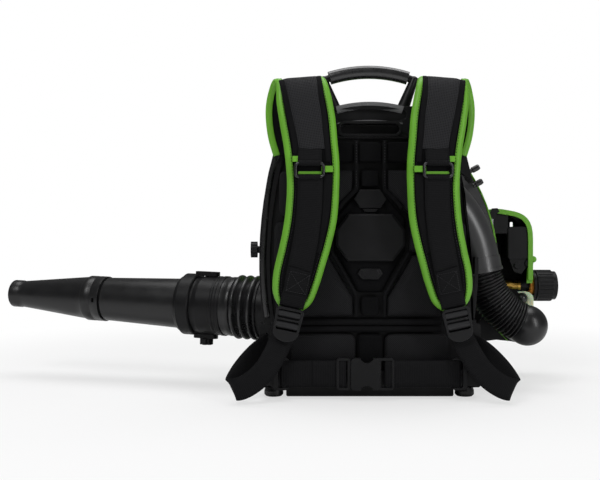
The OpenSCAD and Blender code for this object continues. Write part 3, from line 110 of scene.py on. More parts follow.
class Shader(Nodes):
    """A material, with the textures that its finishes are made of."""

    def __init__(self, name, from_uv=False):
        self.material = bpy.data.materials.new(name)
        super().__init__(self.material)
        self.surface = self.tree.nodes["Principled BSDF"]
        self.place = self.add("TexCoord").outputs["UV" if from_uv else "Object"]

    def noise(self, scale, detail=3.0):
        return self.add("TexNoise", {"Vector": self.place, "Scale": scale, "Detail": detail}).outputs["Fac"]

    def blend(self, factor, first, second):
        node = self.add("Mix", {0: factor}, data_type="RGBA")
        for index, colour in ((6, first), (7, second)):
            self.put(node, index, (*colour, 1) if isinstance(colour, tuple) else colour)
        return node.outputs[2]

    def bump(self, height, depth, normal=None):
        inputs = {"Height": height, "Distance": depth, "Strength": 1.0}
        if normal is not None:
            inputs["Normal"] = normal
        return self.add("Bump", inputs).outputs["Normal"]

    def axes(self):
        return self.add("SeparateXYZ", {0: self.place}).outputs

    def waves(self, coordinate, pitch):
        """A sine of that pitch in metres along one coordinate, from -1 to 1."""
        return self.math("SINE", self.math("MULTIPLY", coordinate, 2 * math.pi / pitch))

    def finish(self, colour, roughness, specular, normal=None, **fixed):
        for key, value in (("Base Color", colour), ("Roughness", roughness),
                           ("Specular IOR Level", specular)):
            self.put(self.surface, key, (*value, 1) if isinstance(value, tuple) else value)
        if normal is not None:
            self.put(self.surface, "Normal", normal)
        for key, value in fixed.items():
            self.put(self.surface, key.replace("_", " "), value)
        return self.material

    def cloth(self, colour, roughness, specular, normal, sheen):
        return self.finish(colour, roughness, specular, normal, Sheen_Weight=sheen, Sheen_Roughness=0.4)


# ---------------- camera, floor and light
LENS = 50
CAMERA_AT = at(-116, -1375, 261)
WORLD_LIGHT = 0.26
# Strength of the same room in the object's gloss
GLOSSY_LIGHT = 0.15
FLOOR_COLOUR = (0.86, 0.86, 0.865)
# The floor's half width, and the distances over which it turns to its own white, in metres
FLOOR_HALF = 8
FLOOR_FADE = (0.5, 1.3)
# Share of that white that the camera sees: under the object, and from some way off
FLOOR_NEAR, FLOOR_FAR = 0.60, 1.0


def make_camera():
    data = bpy.data.cameras.new("camera")
    data.lens = LENS
    camera = shown("camera", data)
    camera.location = CAMERA_AT
    camera.rotation_euler = (math.radians(90), 0, 0)
    bpy.context.scene.camera = camera


def make_lamp(name, place, target, size, power):
    """An oblong lamp aimed at a target, in metres and watts."""
    data = bpy.data.lights.new(name, "AREA")
    data.shape = "RECTANGLE"
    data.size, data.size_y = size
    data.energy = power
    lamp = shown(name, data)
    lamp.location = place
    lamp.rotation_euler = (Vector(target) - Vector(place)).to_track_quat("-Z", "Y").to_euler()


def make_world():
    """A white backdrop for the camera, which lights the object less strongly than it looks."""
    world = bpy.data.worlds.new("studio")
    bpy.context.scene.world = world
    nodes = Nodes(world)
    ray = nodes.add("LightPath").outputs
    seen = nodes.math("MAXIMUM", ray["Is Camera Ray"], ray["Is Transmission Ray"])
    light, backdrop = nodes.tree.nodes["Background"], nodes.add("Background", {"Strength": 1.0})
    strength = nodes.math("MULTIPLY_ADD", ray["Is Glossy Ray"], GLOSSY_LIGHT - WORLD_LIGHT, WORLD_LIGHT)
    nodes.put(light, "Strength", strength)
    for shade in (light, backdrop):
        nodes.put(shade, "Color", (1, 1, 1, 1))
    nodes.end_with("World Output", seen, light, backdrop)


def make_floor():
    """A plain floor that takes the shadows, and fades to white away from the object."""
    corners = [(x * FLOOR_HALF, y * FLOOR_HALF, 0) for x, y in ((-1, -1), (1, -1), (1, 1), (-1, 1))]
    mesh = bpy.data.meshes.new("floor")
    mesh.from_pydata(corners, [], [(0, 1, 2, 3)])
    floor = shown("floor", mesh)
    s = Shader("floor_white")
    away = s.add("VectorMath", {0: s.place}, operation="LENGTH").outputs["Value"]
    fade = s.spread(away, FLOOR_NEAR, FLOOR_FAR, *FLOOR_FADE, interpolation_type="SMOOTHSTEP")
    share = s.math("MULTIPLY", s.add("LightPath").outputs["Is Camera Ray"], fade)
    mesh.materials.append(s.finish(FLOOR_COLOUR, 0.6, 0.1))
    s.end_with("Material Output", share, s.surface, s.add("Emission"))


make_camera()
make_world()
make_floor()
make_lamp("key", (-1.0, -1.7, 2.0), (-0.1, 0, 0.3), (0.9, 0.9), 22)
make_lamp("fill", (1.5, -1.7, 0.9), (0.15, 0, 0.25), (0.35, 1.6), 15)
make_lamp("top", (0.0, 0.25, 2.3), (0, 0, 0), (2.4, 1.3), 34)
bpy.context.scene.view_settings.view_transform = "Standard"


# ---------------- finishes
def scaled(colour, factor):
    return tuple(min(1.0, c * factor) for c in colour)


def plastic(name, colour, roughness=0.4, specular=0.2, grain=0.00002, edge=0.0012, edge_highlight_gain=5.0):
    """Moulded plastic: fine grain, cloudy gloss, and rounded edges with a painted highlight, paler in
    patches.
    """
    s = Shader(name)
    softened = s.add("Bevel", {"Radius": edge}, samples=4).outputs["Normal"]
    flat = s.add("NewGeometry").outputs["Normal"]
    turn = s.add("VectorMath", {0: softened, 1: flat}, operation="DOT_PRODUCT").outputs["Value"]
    # Painted highlight: the colour turns paler, in patches, where the rounded edge turns away from the face.
    painted_edge_highlight = s.math("MULTIPLY", s.spread(turn, 1.0, 0.0, 0.80, 0.995), s.spread(s.noise(90), 0.25, 1.0))
    cloud = s.blend(s.noise(14, 4), scaled(colour, 0.82), scaled(colour, 1.2))
    body = s.blend(painted_edge_highlight, cloud, scaled(colour, edge_highlight_gain))
    gloss = s.spread(s.noise(45, 4), roughness - 0.05, roughness + 0.07)
    normal = s.bump(s.noise(2400, 2), grain, softened)
    return s.finish(body, gloss, specular, normal)


def rubber(name, colour, roughness=0.5, shine=0.3):
    s = Shader(name)
    dust = s.blend(s.noise(22, 5), colour, scaled(colour, 1.6))
    normal = s.bump(s.noise(1500, 2), 0.00001)
    return s.finish(dust, s.spread(s.noise(60, 3), roughness - 0.06, roughness + 0.1), shine, normal)


def metal(name, colour, roughness, grain):
    s = Shader(name)
    cloud = s.blend(s.noise(35, 5), scaled(colour, 0.75), colour)
    normal = s.bump(s.noise(900, 3), grain)
    gloss = s.spread(s.noise(70, 3), roughness - 0.08, roughness + 0.1)
    return s.finish(cloud, gloss, 0.5, normal, Metallic=1.0)


def pad_cloth(name, colour, pitch=0.0009):
    """Fine plain weave, seen as crossing threads in x and z."""
    s = Shader(name)
    x, _, z = s.axes()
    threads = s.math("MULTIPLY", s.waves(x, pitch), s.waves(z, pitch))
    shade = s.blend(s.noise(26, 4), scaled(colour, 0.8), scaled(colour, 1.35))
    normal = s.bump(s.math("ADD", threads, s.math("MULTIPLY", s.noise(420, 3), 1.5)), 0.00005)
    normal = s.bump(s.noise(65, 3), 0.0009, normal)
    return s.cloth(shade, 0.8, 0.04, normal, 0.009)


def spacer_mesh(name, colour, pitch=0.0034):
    """Open mesh cloth: a lattice of pits that leans the other way on each side of the middle."""
    s = Shader(name)
    x, _, z = s.axes()
    out = s.math("ABSOLUTE", x)
    rising = s.waves(s.math("ADD", out, z), pitch)
    falling = s.waves(s.math("SUBTRACT", out, z), pitch * 0.8)
    lattice = s.math("ADD", rising, s.math("MULTIPLY", falling, 0.55))
    pits = s.spread(lattice, 0.0, 1.0, -1.0, 0.6)
    # Painted light and shade: the pits are painted darker and the raised lattice between them paler.
    shade = s.blend(pits, scaled(colour, 0.2), scaled(colour, 3.0))
    return s.cloth(shade, 0.7, 0.08, s.bump(pits, 0.0004), 0.015)


def strap_mesh(name, colour, pitch=0.0052):
    """Mesh of small diamonds, laid along the strap."""
    s = Shader(name, from_uv=True)
    along, across, _ = s.axes()
    rising = s.waves(s.math("ADD", along, across), pitch)
    falling = s.waves(s.math("SUBTRACT", along, across), pitch)
    lattice = s.math("MULTIPLY", rising, falling)
    pits = s.spread(lattice, 1.0, 0.0, 0.1, 0.7)
    # Painted light and shade: the hollows of the mesh are painted darker and its raised diamonds paler.
    shade = s.blend(pits, scaled(colour, 0.15), scaled(colour, 2.6))
    return s.cloth(shade, 0.7, 0.08, s.bump(pits, 0.0005), 0.015)


def webbing(name, colour, rib=0.0028, shine=0.06):
    """Woven ribbon: ribs across it and fine threads along it."""
    s = Shader(name, from_uv=True)
    along, across, _ = s.axes()
    ribs = s.math("ABSOLUTE", s.waves(along, rib * 2))
    threads = s.math("ABSOLUTE", s.waves(across, rib))
    weave = s.math("ADD", ribs, s.math("MULTIPLY", threads, 0.5))
    # Painted light and shade: the raised ribs and threads are painted paler and the hollows between them
    # darker.
    shade = s.blend(s.spread(weave, 0.0, 1.0, 0.1, 1.4), scaled(colour, 0.35), scaled(colour, 1.9))
    shade = s.blend(s.spread(s.noise(40, 3), 0.0, 0.35), shade, scaled(colour, 1.1))
    return s.cloth(shade, 0.6, shine, s.bump(weave, 0.00022), 0.008)


def glossy_duct(name, colour, shine=0.8):
    """Blow-moulded duct: satin, with long soft waves in its wall."""
    s = Shader(name)
    cloud = s.blend(s.noise(12, 3), scaled(colour, 0.85), scaled(colour, 1.2))
    normal = s.bump(s.noise(1300, 2), 0.00003, s.bump(s.noise(9, 2), 0.0015))
    return s.finish(cloud, s.spread(s.noise(50, 4), 0.3, 0.38), shine, normal)


def clear_tank(name, colour):
    """Milky fuel tank, darker where the fuel stands."""
    s = Shader(name)
    _, _, z = s.axes()
    level = s.spread(z, 0.0, 1.0, 0.128, 0.132)
    body = s.blend(level, scaled(colour, 0.72), colour)
    body = s.blend(s.spread(s.noise(30, 3), 0.0, 0.3), body, scaled(colour, 0.85))
    return s.finish(body, 0.3, 0.4, s.bump(s.noise(700, 2), 0.00003), Subsurface_Weight=0.25)


BLACK = (0.0052, 0.0052, 0.0057)
SATIN = (0.006, 0.006, 0.0065)
GREEN = (0.125, 0.36, 0.024)
# Each finish has its kind, its colour, and then what it sets of that kind, in the kind's own order
FINISHES = {
    "black_plastic": (plastic, BLACK),
    # The rim and lip are glossy black plastic with a painted highlight: their colour is far paler than the
    # black.
    "rim_gloss_painted_highlight": (plastic, (0.10, 0.10, 0.104), 0.3, 1.0, 0.00001, 0.0006, 1.2),
    "gloss_black": (plastic, SATIN, 0.28, 0.6, 0.00001, 0.0022),
    "grip_rubber": (plastic, SATIN, 0.27, 0.8, 0.000008, 0.001, 1.1),
    # The adjuster's edges get the strongest painted highlight.
    "adjuster_black": (plastic, BLACK, 0.36, 0.25, 0.00002, 0.0016, 8.0),
    "tube_plastic": (plastic, (0.005, 0.005, 0.0054), 0.34, 0.45, 0.000006, 0.0008),
    "impeller_plastic": (plastic, (0.03, 0.03, 0.032), 0.5),
    "green_plastic": (plastic, GREEN, 0.38, 0.35, 0.00003, 0.0014, 1.25),
    "elbow_plastic": (glossy_duct, SATIN, 0.45),
    "duct_plastic": (glossy_duct, (0.022, 0.022, 0.023)),
    "tank_plastic": (clear_tank, (0.60, 0.70, 0.47)),
    "rubber": (rubber, (0.007, 0.007, 0.0075), 0.3, 0.5),
    "green_binding": (rubber, (0.095, 0.275, 0.018), 0.42, 0.35),
    "inner_black": (rubber, (0.004, 0.004, 0.0042), 0.7, 0.1),
    "webbing_roll": (rubber, (0.010, 0.010, 0.011), 0.5, 0.3),
    "thread": (rubber, SATIN, 0.7),
    "grey_thread": (rubber, (0.03, 0.03, 0.032), 0.7),
    "gasket": (rubber, (0.72, 0.25, 0.03), 0.45),
    "pad_fabric": (pad_cloth, (0.0046, 0.0046, 0.0050)),
    "smooth_tape": (pad_cloth, (0.0064, 0.0064, 0.0069), 0.0005),
    "mesh_fabric": (spacer_mesh, (0.0064, 0.0064, 0.0069)),
    "strap_mesh": (strap_mesh, (0.0098, 0.0098, 0.0106)),
    "webbing": (webbing, (0.0056, 0.0056, 0.0061)),
    "ring_steel": (metal, (0.07, 0.07, 0.073), 0.3, 0.00002),
    "cast_alloy": (metal, (0.46, 0.47, 0.49), 0.5, 0.00012),
    "steel": (metal, (0.42, 0.41, 0.40), 0.34, 0.00004),
    "brass": (metal, (0.62, 0.38, 0.09), 0.3, 0.00003),
}


@functools.cache
def finish_of(name):
    kind, *settings = FINISHES[name]
    return kind(name, *settings)


for part in frame["record"]["subparts"]:
    node = NODES[part["node"]]
    node.data.materials.clear()
    node.data.materials.append(finish_of(part["material_slot"]))


# ---------------- mesh helpers
def bounded(value, low, high):
    return max(low, min(high, value))


def smooth_shaded(mesh):
    mesh.polygons.foreach_set("use_smooth", [True] * len(mesh.polygons))


def rework(mesh, change):
    """Runs one bmesh operation on a mesh."""
    work = bmesh.new()
    work.from_mesh(mesh)
    change(work)
    work.to_mesh(mesh)
    work.free()


def modify(piece, kind, **settings):
    """Applies one modifier to a piece."""
    bpy.context.view_layer.objects.active = piece
    modifier = piece.modifiers.new("change", kind)
    for key, value in settings.items():
        setattr(modifier, key, value)
    bpy.ops.object.modifier_apply(modifier=modifier.name)


def new_piece(name, points, faces, finish, uvs=None):
    mesh = bpy.data.meshes.new(name)
    mesh.from_pydata([tuple(p) for p in points], [], faces)
    mesh.validate()
    if uvs is not None:
        layer = mesh.uv_layers.new(name="UVMap")
        for loop in mesh.loops:
            layer.data[loop.index].uv = uvs[loop.vertex_index]
    smooth_shaded(mesh)
    mesh.materials.append(finish_of(finish))
    return shown(name, mesh)


def settle(piece, slot, *nodes, body="pack", fill=None):
    """Says what the piece rides on and which CAD nodes it stands for, and hides these. Its slot is not used.
    """
    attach(piece, body)
    if nodes:
        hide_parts(*nodes)
    return piece


def crossing(piece, node, slot, *blend):
    """A piece that lies across a joint, in place of its CAD node, which it hides; its place is baked into
    its mesh.
    """
    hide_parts(node)
    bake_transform(piece)


def mirrored(piece, name):
    """A copy on the other side of the middle plane, with its faces turned back outwards."""
    copy = shown(name, piece.data.copy())
    copy.data.name = name
    for vertex in copy.data.vertices:
        vertex.co.x = -vertex.co.x
    copy.data.flip_normals()
    return copy


def settle_pair(piece, slot, *nodes, **more):
    """Settles a left piece and its mirror image, which stand for the first and the second node."""
    other = mirrored(piece, piece.name.replace("_left", "_right"))
    settle(piece, slot, *nodes[:1], **more)
    settle(other, slot, *nodes[1:], **more)


def arc(centre, radius, start, end, steps, height=None):
    """Points on a circle between two angles in degrees, or on an ellipse where its height is given."""
    return [(centre[0] + radius * math.cos(a), centre[1] + (height or radius) * math.sin(a))
            for a in np.radians(np.linspace(start, end, steps))]


def flipped(outline):
    """The mirror image of an outline, run the same way round."""
    return [(-x, z) for x, z in outline[::-1]]


def ring(radius, sides, height=None):
    """All round a circle or an ellipse, without its first point again."""
    return [(radius * math.cos(a), (height or radius) * math.sin(a))
            for a in np.linspace(0, 2 * math.pi, sides, endpoint=False)]


def smooth_line(points, count):
    """Even steps along a Catmull-Rom curve; a point may carry more values than its three."""
    p = np.array(points, float)
    p = np.vstack([2 * p[0] - p[1], p, 2 * p[-1] - p[-2]])
    fine = []
    for a, b, c, d in zip(p, p[1:], p[2:], p[3:]):
        fine += [0.5 * (2 * b + (c - a) * t + (2 * a - 5 * b + 4 * c - d) * t * t
                        + (3 * b - a - 3 * c + d) * t ** 3) for t in np.linspace(0, 1, 24, endpoint=False)]
    fine = np.array(fine + [p[-2]])
    run = np.concatenate([[0], np.cumsum(np.linalg.norm(np.diff(fine[:, :3], axis=0), axis=1))])
    steps = np.linspace(0, run[-1], count)
    return np.stack([np.interp(steps, run, fine[:, k]) for k in range(fine.shape[1])], axis=1)


def stations(line, across=(1, 0, 0)):
    """For each point of a line in metres: its place, the direction across it and the one out of it."""
    found = []
    for i in range(len(line)):
        t = Vector(line[min(i + 1, len(line) - 1)][:3]) - Vector(line[max(i - 1, 0)][:3])
        t.normalize()
        wanted = Vector(across(i / (len(line) - 1)) if callable(across) else across)
        side = (wanted - wanted.dot(t) * t).normalized()
        found.append((Vector(line[i][:3]), side, t.cross(side)))
    return found


def path_along(points, steps, across=(1, 0, 0)):
    """Stations in even steps along a smooth curve through x, depth, z points."""
    return stations(smooth_line([at(*p) for p in points], steps), across)


def sweep(name, places, section, finish, closed=False):
    """A solid along the stations; its section is an outline in metres, or a function that gives it for i."""
    points, uvs, faces = [], [], []
    run = 0.0
    for i, (origin, side, out) in enumerate(places):
        run += (origin - places[max(i - 1, 0)][0]).length
        outline = section(i) if callable(section) else section
        girth = 0.0
        for k, (s, o) in enumerate(outline):
            girth += math.dist(outline[k], outline[max(k - 1, 0)])
            points.append(origin + side * s + out * o)
            uvs.append((run, s if abs(s) > 1e-9 else girth))
    n, count = len(outline), len(places)
    for i in range(count if closed else count - 1):
        j = (i + 1) % count
        faces += [(i * n + k, i * n + (k + 1) % n, j * n + (k + 1) % n, j * n + k) for k in range(n)]
    if not closed:
        faces += [tuple(range(n))[::-1], tuple(range((count - 1) * n, count * n))]
    return new_piece(name, points, faces, finish, uvs)


def flat_section(width, thickness, off=0.0, crown=0.0):
    """A ribbon's outline with softened edges; crown bows its face outwards."""
    w, t = width / 2, thickness / 2
    steps = (-1, -0.6, -0.2, 0.2, 0.6, 1)
    top = [(w * 0.985 * s, off + t + crown * (1 - s * s)) for s in steps]
    low = [(w * 0.985 * s, off - t) for s in steps[::-1]]
    return top + [(w, off + t * 0.3), (w, off - t * 0.3)] + low + [(-w, off - t * 0.3), (-w, off + t * 0.3)]


BEAD_FACES = [(0, 2, 1), (0, 3, 2), (1, 2, 5, 4), (2, 3, 6, 5), (4, 5, 7), (5, 6, 7), (0, 1, 4, 7, 6, 3)]


def bead_row(name, places, stitch, finish):
    """Short rounded threads along a line of places; a stitch has its length, gap and thickness in metres."""
    length, gap, thick = stitch
    points, faces = [], []
    run = 0.0
    last = -gap
    for (start, *_), (end, side, out) in zip(places, places[1:]):
        step = end - start
        while last + length + gap <= run + step.length:
            last += length + gap
            centre = start + step * ((last - run) / step.length)
            ahead = step.normalized() * length / 2
            around = (side * thick / 2, out * thick / 2, -side * thick / 2)
            base = len(points)
            points += [centre - ahead, *(centre - ahead * 0.7 + edge for edge in around),
                       *(centre + ahead * 0.7 + edge for edge in around), centre + ahead]
            faces += [tuple(base + k for k in face) for face in BEAD_FACES]
        run += step.length
    return new_piece(name, points, faces, finish)


def join(name, pieces):
    """One object from several, keeping the first one's material and any others'."""
    for other in bpy.context.selected_objects:
        other.select_set(False)
    for piece in pieces:
        piece.select_set(True)
    bpy.context.view_layer.objects.active = pieces[0]
    bpy.ops.object.join()
    pieces[0].name = name
    pieces[0].data.name = name
    return pieces[0]


def lathe(name, start, axis, profile, finish, sides=48):
    """A round piece: (distance along the axis, radius) pairs in millimetres, from a start point."""
    axis = Vector(axis).normalized()
    side = axis.cross(Vector((0.31, 0.17, 0.93))).normalized()
    out = axis.cross(side)
    places = [(start + axis * d / 1000, side, out) for d, _ in profile]
    return crisp(sweep(name, places, lambda i: ring(max(profile[i][1], 0.02) / 1000, sides), finish))


def crisp(piece, angle=32):
    """Faces outwards, smooth shading, and sharp edges where the surface turns by more than the angle."""
    rework(piece.data, lambda work: bmesh.ops.recalc_face_normals(work, faces=work.faces))
    smooth_shaded(piece.data)
    piece.data.set_sharp_from_angle(angle=math.radians(angle))
    return piece


def plate(name, outline, depth, finish="black_plastic"):
    """An x, z outline in millimetres, run from one depth to another."""
    n = len(outline)
    points = [at(x, d, z) for d in depth for x, z in outline]
    faces = [tuple(range(n)), tuple(range(2 * n - 1, n - 1, -1))]
    faces += [(i, i + n, (i + 1) % n + n, (i + 1) % n) for i in range(n)]
    return crisp(new_piece(name, points, faces, finish))


def rounded(low, high, r, steps=5):
    """The outline of a rectangle with rounded corners."""
    corners = [(high[0] - r, high[1] - r, 0), (low[0] + r, high[1] - r, 90),
               (low[0] + r, low[1] + r, 180), (high[0] - r, low[1] + r, 270)]
    return [point for x, z, turn in corners for point in arc((x, z), r, turn, turn + 90, steps)]


def box_at(name, low, high, finish):
    """A plain block between two corners in millimetres."""
    return plate(name, rounded((low[0], low[2]), (high[0], high[2]), 1.2, 3), (low[1], high[1]), finish)


def tube_along(name, low, high, radius, finish, sides=24):
    """A round bar between two points in millimetres."""
    start, end = at(*low), at(*high)
    length = (end - start).length * 1000
    profile = [(0, 0), (0, radius), (length, radius), (length, 0)]
    return lathe(name, start, end - start, profile, finish, sides)


def carve(piece, *cutters, angle=32):
    """Takes the cutters' space out of the piece, and deletes them."""
    for cutter in cutters:
        modify(piece, "BOOLEAN", object=cutter, solver="EXACT")
        bpy.data.objects.remove(cutter)
    return crisp(piece, angle)


def copy_of(node, name):
    """The CAD node's shape as a piece of its own, welded so that it can be cut."""
    mesh = NODES[node].data.copy()
    mesh.name = name
    mesh.transform(NODES[node].matrix_world)
    rework(mesh, lambda work: bmesh.ops.remove_doubles(work, verts=work.verts, dist=1e-6))
    return shown(name, mesh)


# ---------------- shoulder straps
# x, depth, z and width along the left strap, from its anchor over the shoulder and down the front
STRAP = [
    (-119, 4.2, 408, 82), (-126, 4.2, 440, 86), (-129, 4, 474, 86), (-125, 1, 500, 84),
    (-119, -8, 515, 80), (-115.5, -22, 518, 78), (-113, -35, 508, 81), (-110, -44, 486, 86),
    (-104, -50, 450, 87), (-99.5, -53, 415, 84), (-96, -54, 381, 83), (-95.3, -54, 344, 81),
    (-98, -52, 302, 81), (-104, -49, 268, 79), (-112, -45, 236, 77), (-121, -40, 202, 75),
    (-127, -36, 173, 66), (-131, -34, 158, 50), (-133, -33, 151, 34),
]
STRAP_STEPS = 150
# Half thickness of the padding, by distance in from the strap's edge
PADDING = [(0, 0.0), (0.8, 2.6), (2.5, 4.3), (5, 5.2), (9, 5.0), (10.8, 4.5), (12.5, 5.0), (17, 6.5),
           (25, 7.1), (50, 7.4)]
# How far the binding reaches in from the edge on both faces
BINDING = 10.3
# Where the strap is narrower than this on each side of its middle, its edges are drawn together
FULL_EDGE = 26
# Heights on the front run between which the mesh panel and the sewn flap lie, in metres
MESH_RUN, FLAP_RUN = (0.516, 0.402), (0.366, 0.246)
# Two corners of each piece of green tape that shows beside the ring and through it
BANDS = [((-128, -66, 384), (-116, -61, 393)), ((-82, -66, 368), (-64, -61, 377.5)),
         ((-119, -63, 364.5), (-82, -60, 369))]
# Stitches: length, gap and thickness in metres
EDGE_STITCH, PAD_STITCH = (0.0030, 0.0016, 0.0010), (0.0026, 0.0018, 0.0007)
BOX_STITCH, RIB_STITCH = (0.0026, 0.0010, 0.0011), (0.0016, 0.0030, 0.0012)


def padding(inset):
    return float(np.interp(inset, *zip(*PADDING)))


def turned_under(points):
    """The same points on the underside, in the order that closes the outline."""
    return [(s, -o) for s, o in points[::-1]]


def strap_across(t):
    """The strap's inner edge rides a little higher over the shoulder."""
    return (1, 0, 0.07 * math.exp(-((t - 0.22) / 0.14) ** 2))


class Strap:
    """The left strap's line, with what its parts share. Its sections are in metres, across and out."""

    def __init__(self):
        self.line = smooth_line([(*at(*place), width / 1000) for *place, width in STRAP], STRAP_STEPS)
        self.places = stations(self.line, strap_across)
        self.half = [row[3] * 500 for row in self.line]

    def across(self, i, side, inset):
        """Where a point lies that is that far in from one edge."""
        squeeze = min(1.0, (self.half[i] - 1) / FULL_EDGE)
        return side * (self.half[i] - inset * squeeze) / 1000

    def body_section(self, i):
        left = [(self.across(i, -1, inset), padding(inset) / 1000)
                for inset in (0, 0.8, 2.5, 5, 9, 10.8, 12.5, 17, 21, 25)]
        middle = [(s * self.half[i] * 0.35 / 1000, padding(self.half[i]) / 1000) for s in (-0.5, 0, 0.5)]
        front = left + middle + [(-s, o) for s, o in reversed(left)]
        return front + [(s, -o * 0.9) for s, o in reversed(front[1:-1])]

    def binding_section(self, side):
        """The binding is a little proud of the padding on both faces, and closed inside it."""
        def section(i):
            def edge(inset, lift):
                return self.across(i, side, inset), (padding(inset) + lift) / 1000

            face = [edge(inset, 1.1) for inset in (BINDING, BINDING - 0.5, BINDING - 2, 5, 3, 1.2)]
            face.append((side * (self.half[i] + 0.9) / 1000, 0.0018))
            inside = [edge(inset, -0.3) for inset in (2, 5, 9)]
            return [edge(BINDING, 0)] + face[1:] + turned_under(face) + turned_under(inside) + inside
        return section

    def moved(self, side, inset, lift):
        """The stations of a line that runs at that distance in from one edge, on the front face."""
        raised_by = (padding(inset) + lift) / 1000
        return [(origin + across * self.across(i, side, inset) + out * raised_by, across, out)
                for i, (origin, across, out) in enumerate(self.places)]

    def between(self, high, low):
        """First and last station of the front run between two heights in metres."""
        crest = int(np.argmax(self.line[:, 2]))
        first = next(i for i in range(crest, STRAP_STEPS) if self.line[i][2] < high)
        last = next(i for i in range(STRAP_STEPS - 1, crest, -1) if self.line[i][2] > low)
        return first, last

    def lengthwise(self, name, run, start, end, lift, finish, thick=0.0018, crown=0.0004):
        """A ribbon laid on stations of the strap; start and end each give its two edges across it."""
        first, last = run
        places, widths = [], []
        for i in range(first, last + 1):
            t = (i - first) / (last - first)
            a, b = (p + (q - p) * t for p, q in zip(start, end))
            origin, across, out = self.places[i]
            places.append((origin + across * (a + b) / 2000, across, out))
            widths.append((b - a) / 1000)
        return sweep(name, places, lambda i: flat_section(widths[i], thick, lift / 1000, crown), finish)


def make_straps():
    strap = Strap()
    body = sweep("strap_padding_left", strap.places, strap.body_section, "pad_fabric")
    edges = [sweep(f"strap_binding_{name}_left", strap.places, strap.binding_section(side), "green_binding")
             for name, side in (("outer", -1), ("inner", 1))]
    seams = [bead_row("seam", strap.moved(side, BINDING + inset, lift), stitch, finish)
             for inset, lift, stitch, finish in ((-1.6, 1.15, EDGE_STITCH, "thread"),
                                                 (3.2, 0.1, PAD_STITCH, "grey_thread")) for side in (-1, 1)]
    stitches = join("strap_stitches_left", seams)
    over, tab = strap.between(*MESH_RUN)
    mesh = strap.lengthwise("strap_mesh_left", (over, tab), (-27, 25), (-19, 21), 7.5, "strap_mesh",
                            thick=0.0022, crown=0.0008)
    tapes = [((over, tab + 6), (-36, -26), (-27, -18.5), 7.2),
             ((over, tab + 6), (24.5, 33), (20.5, 29), 7.2),
             (strap.between(*FLAP_RUN), (14, 31), (16, 25), 7.1)]
    tape = join("strap_tape_left", [strap.lengthwise("tape", *places, "smooth_tape") for places in tapes])
    bands = join("strap_bands_left", [box_at("band", *corners, "green_binding") for corners in BANDS])
    settle_pair(body, "pad_fabric", "shoulder_strap_left", "shoulder_strap_right", fill=0.5)
    for piece, slot in ((edges[0], "green_plastic"), (edges[1], "green_plastic"), (stitches, "webbing"),
                        (mesh, "mesh_fabric"), (tape, "pad_fabric"), (bands, "green_plastic")):
        settle_pair(piece, slot)


make_straps()


# ---------------- harness webbing
WEBBING = [
    (-100, -65.6, 358), (-100, -63.9, 344), (-100.5, -62.6, 322), (-102, -61.6, 302), (-106, -59.3, 268),
    (-112, -55.6, 236), (-118, -52.2, 208), (-123, -48.2, 180), (-128, -44.0, 162), (-130, -43.6, 153),
]
# The sewn end of the webbing
PATCH = [(-115.6, -54, 214), (-118, -52.2, 206), (-121, -49.9, 190), (-123.6, -47.6, 176)]
TAB = [(-100.5, -67.0, 381.5), (-100.5, -66.0, 388), (-100.3, -64.0, 396), (-99.8, -62.2, 404)]
TAIL = [
    (-137, -39.4, 124), (-142, -39.4, 110), (-149, -41.5, 94), (-158, -48, 76), (-169, -54, 58),
    (-184, -58, 42), (-200, -60, 31), (-213, -59, 25.5), (-222, -54, 24), (-223, -46, 25), (-219, -38, 34),
    (-208, -27, 52), (-192, -13, 71), (-178, 0, 83), (-170.9, 10, 86), (-170.9, 28, 86),
]
RING = (-101, -66.5, 371)
# The left adjuster's middle, its tilt, the depth of its face, and the corners of its windows, across and up
ADJUSTER = (-136, -44.6, 128)
ADJUSTER_TILT = math.radians(12)
ADJUSTER_FACE = -51
ADJUSTER_WINDOWS = [((-18.3, 7.6), (18.3, 21.2)), ((-17.8, -11.5), (17.8, 4.6))]
BELT_DEPTH, BELT_HEIGHT, BELT_WIDTH = -24, 44, 0.043
# How the belt folds round a bar: its radius, half the gap of its two runs, and where they have closed up
BELT_TURN, BELT_GAP, BELT_CLOSED = 4.4, 1.3, 14


def ribbon(name, points, width, across=(1, 0, 0), thickness=0.0024, steps=60):
    return sweep(name, path_along(points, steps, across), flat_section(width, thickness), "webbing")


def tail_across(t):
    """The tail starts nearly flat to the pads, leans out at the fold and ends on edge in the bracket."""
    start, fold, end = Vector((1, 0, -0.25)), Vector((0.42, 0, -0.9)), Vector((0, 0, -1))
    if t < 0.42:
        return start.lerp(fold, t / 0.42)
    return fold.lerp(end, bounded((t - 0.62) / 0.25, 0, 1))


def on_tilted(centre, tilt, u, v, depth):
    """A point u across and v up from the centre of something tilted sideways, at a depth."""
    return at(centre[0] + u * math.cos(tilt) + v * math.sin(tilt), depth,
              centre[2] - u * math.sin(tilt) + v * math.cos(tilt))


def stitched_box(centre, half, tilt, slope):
    """A sewn square with a cross in it, on a face that looks forwards; slope is its depth by height."""
    corners = [Vector(corner) * half for corner in ((-1, 1), (1, 1), (1, -1), (-1, -1))]
    rows = []
    for a, b in ((0, 1), (1, 2), (2, 3), (3, 0), (0, 2), (3, 1)):
        spots = [corners[a].lerp(corners[b], t) for t in np.linspace(0, 1, 14)]
        line = [on_tilted(centre, tilt, u, v, centre[1] + v * slope) for u, v in spots]
        rows.append(bead_row("row", stations(line, (0, -1, 0)), BOX_STITCH, "grey_thread"))
    return rows


def in_adjuster(u, v, depth):
    """A point on the left adjuster: across it and up it in millimetres, at a depth."""
    return on_tilted(ADJUSTER, ADJUSTER_TILT, u, v, depth)


def roll(height, radius):
    """Webbing wound over one bar of the left adjuster."""
    start, end = (in_adjuster(u, height, ADJUSTER[1]) for u in (-18.5, 18.5))
    profile = [(0, 0), (0, radius - 0.8), (0.8, radius), (36.2, radius), (37, radius - 0.8), (37, 0)]
    return lathe("roll", start, end - start, profile, "webbing_roll", 32)


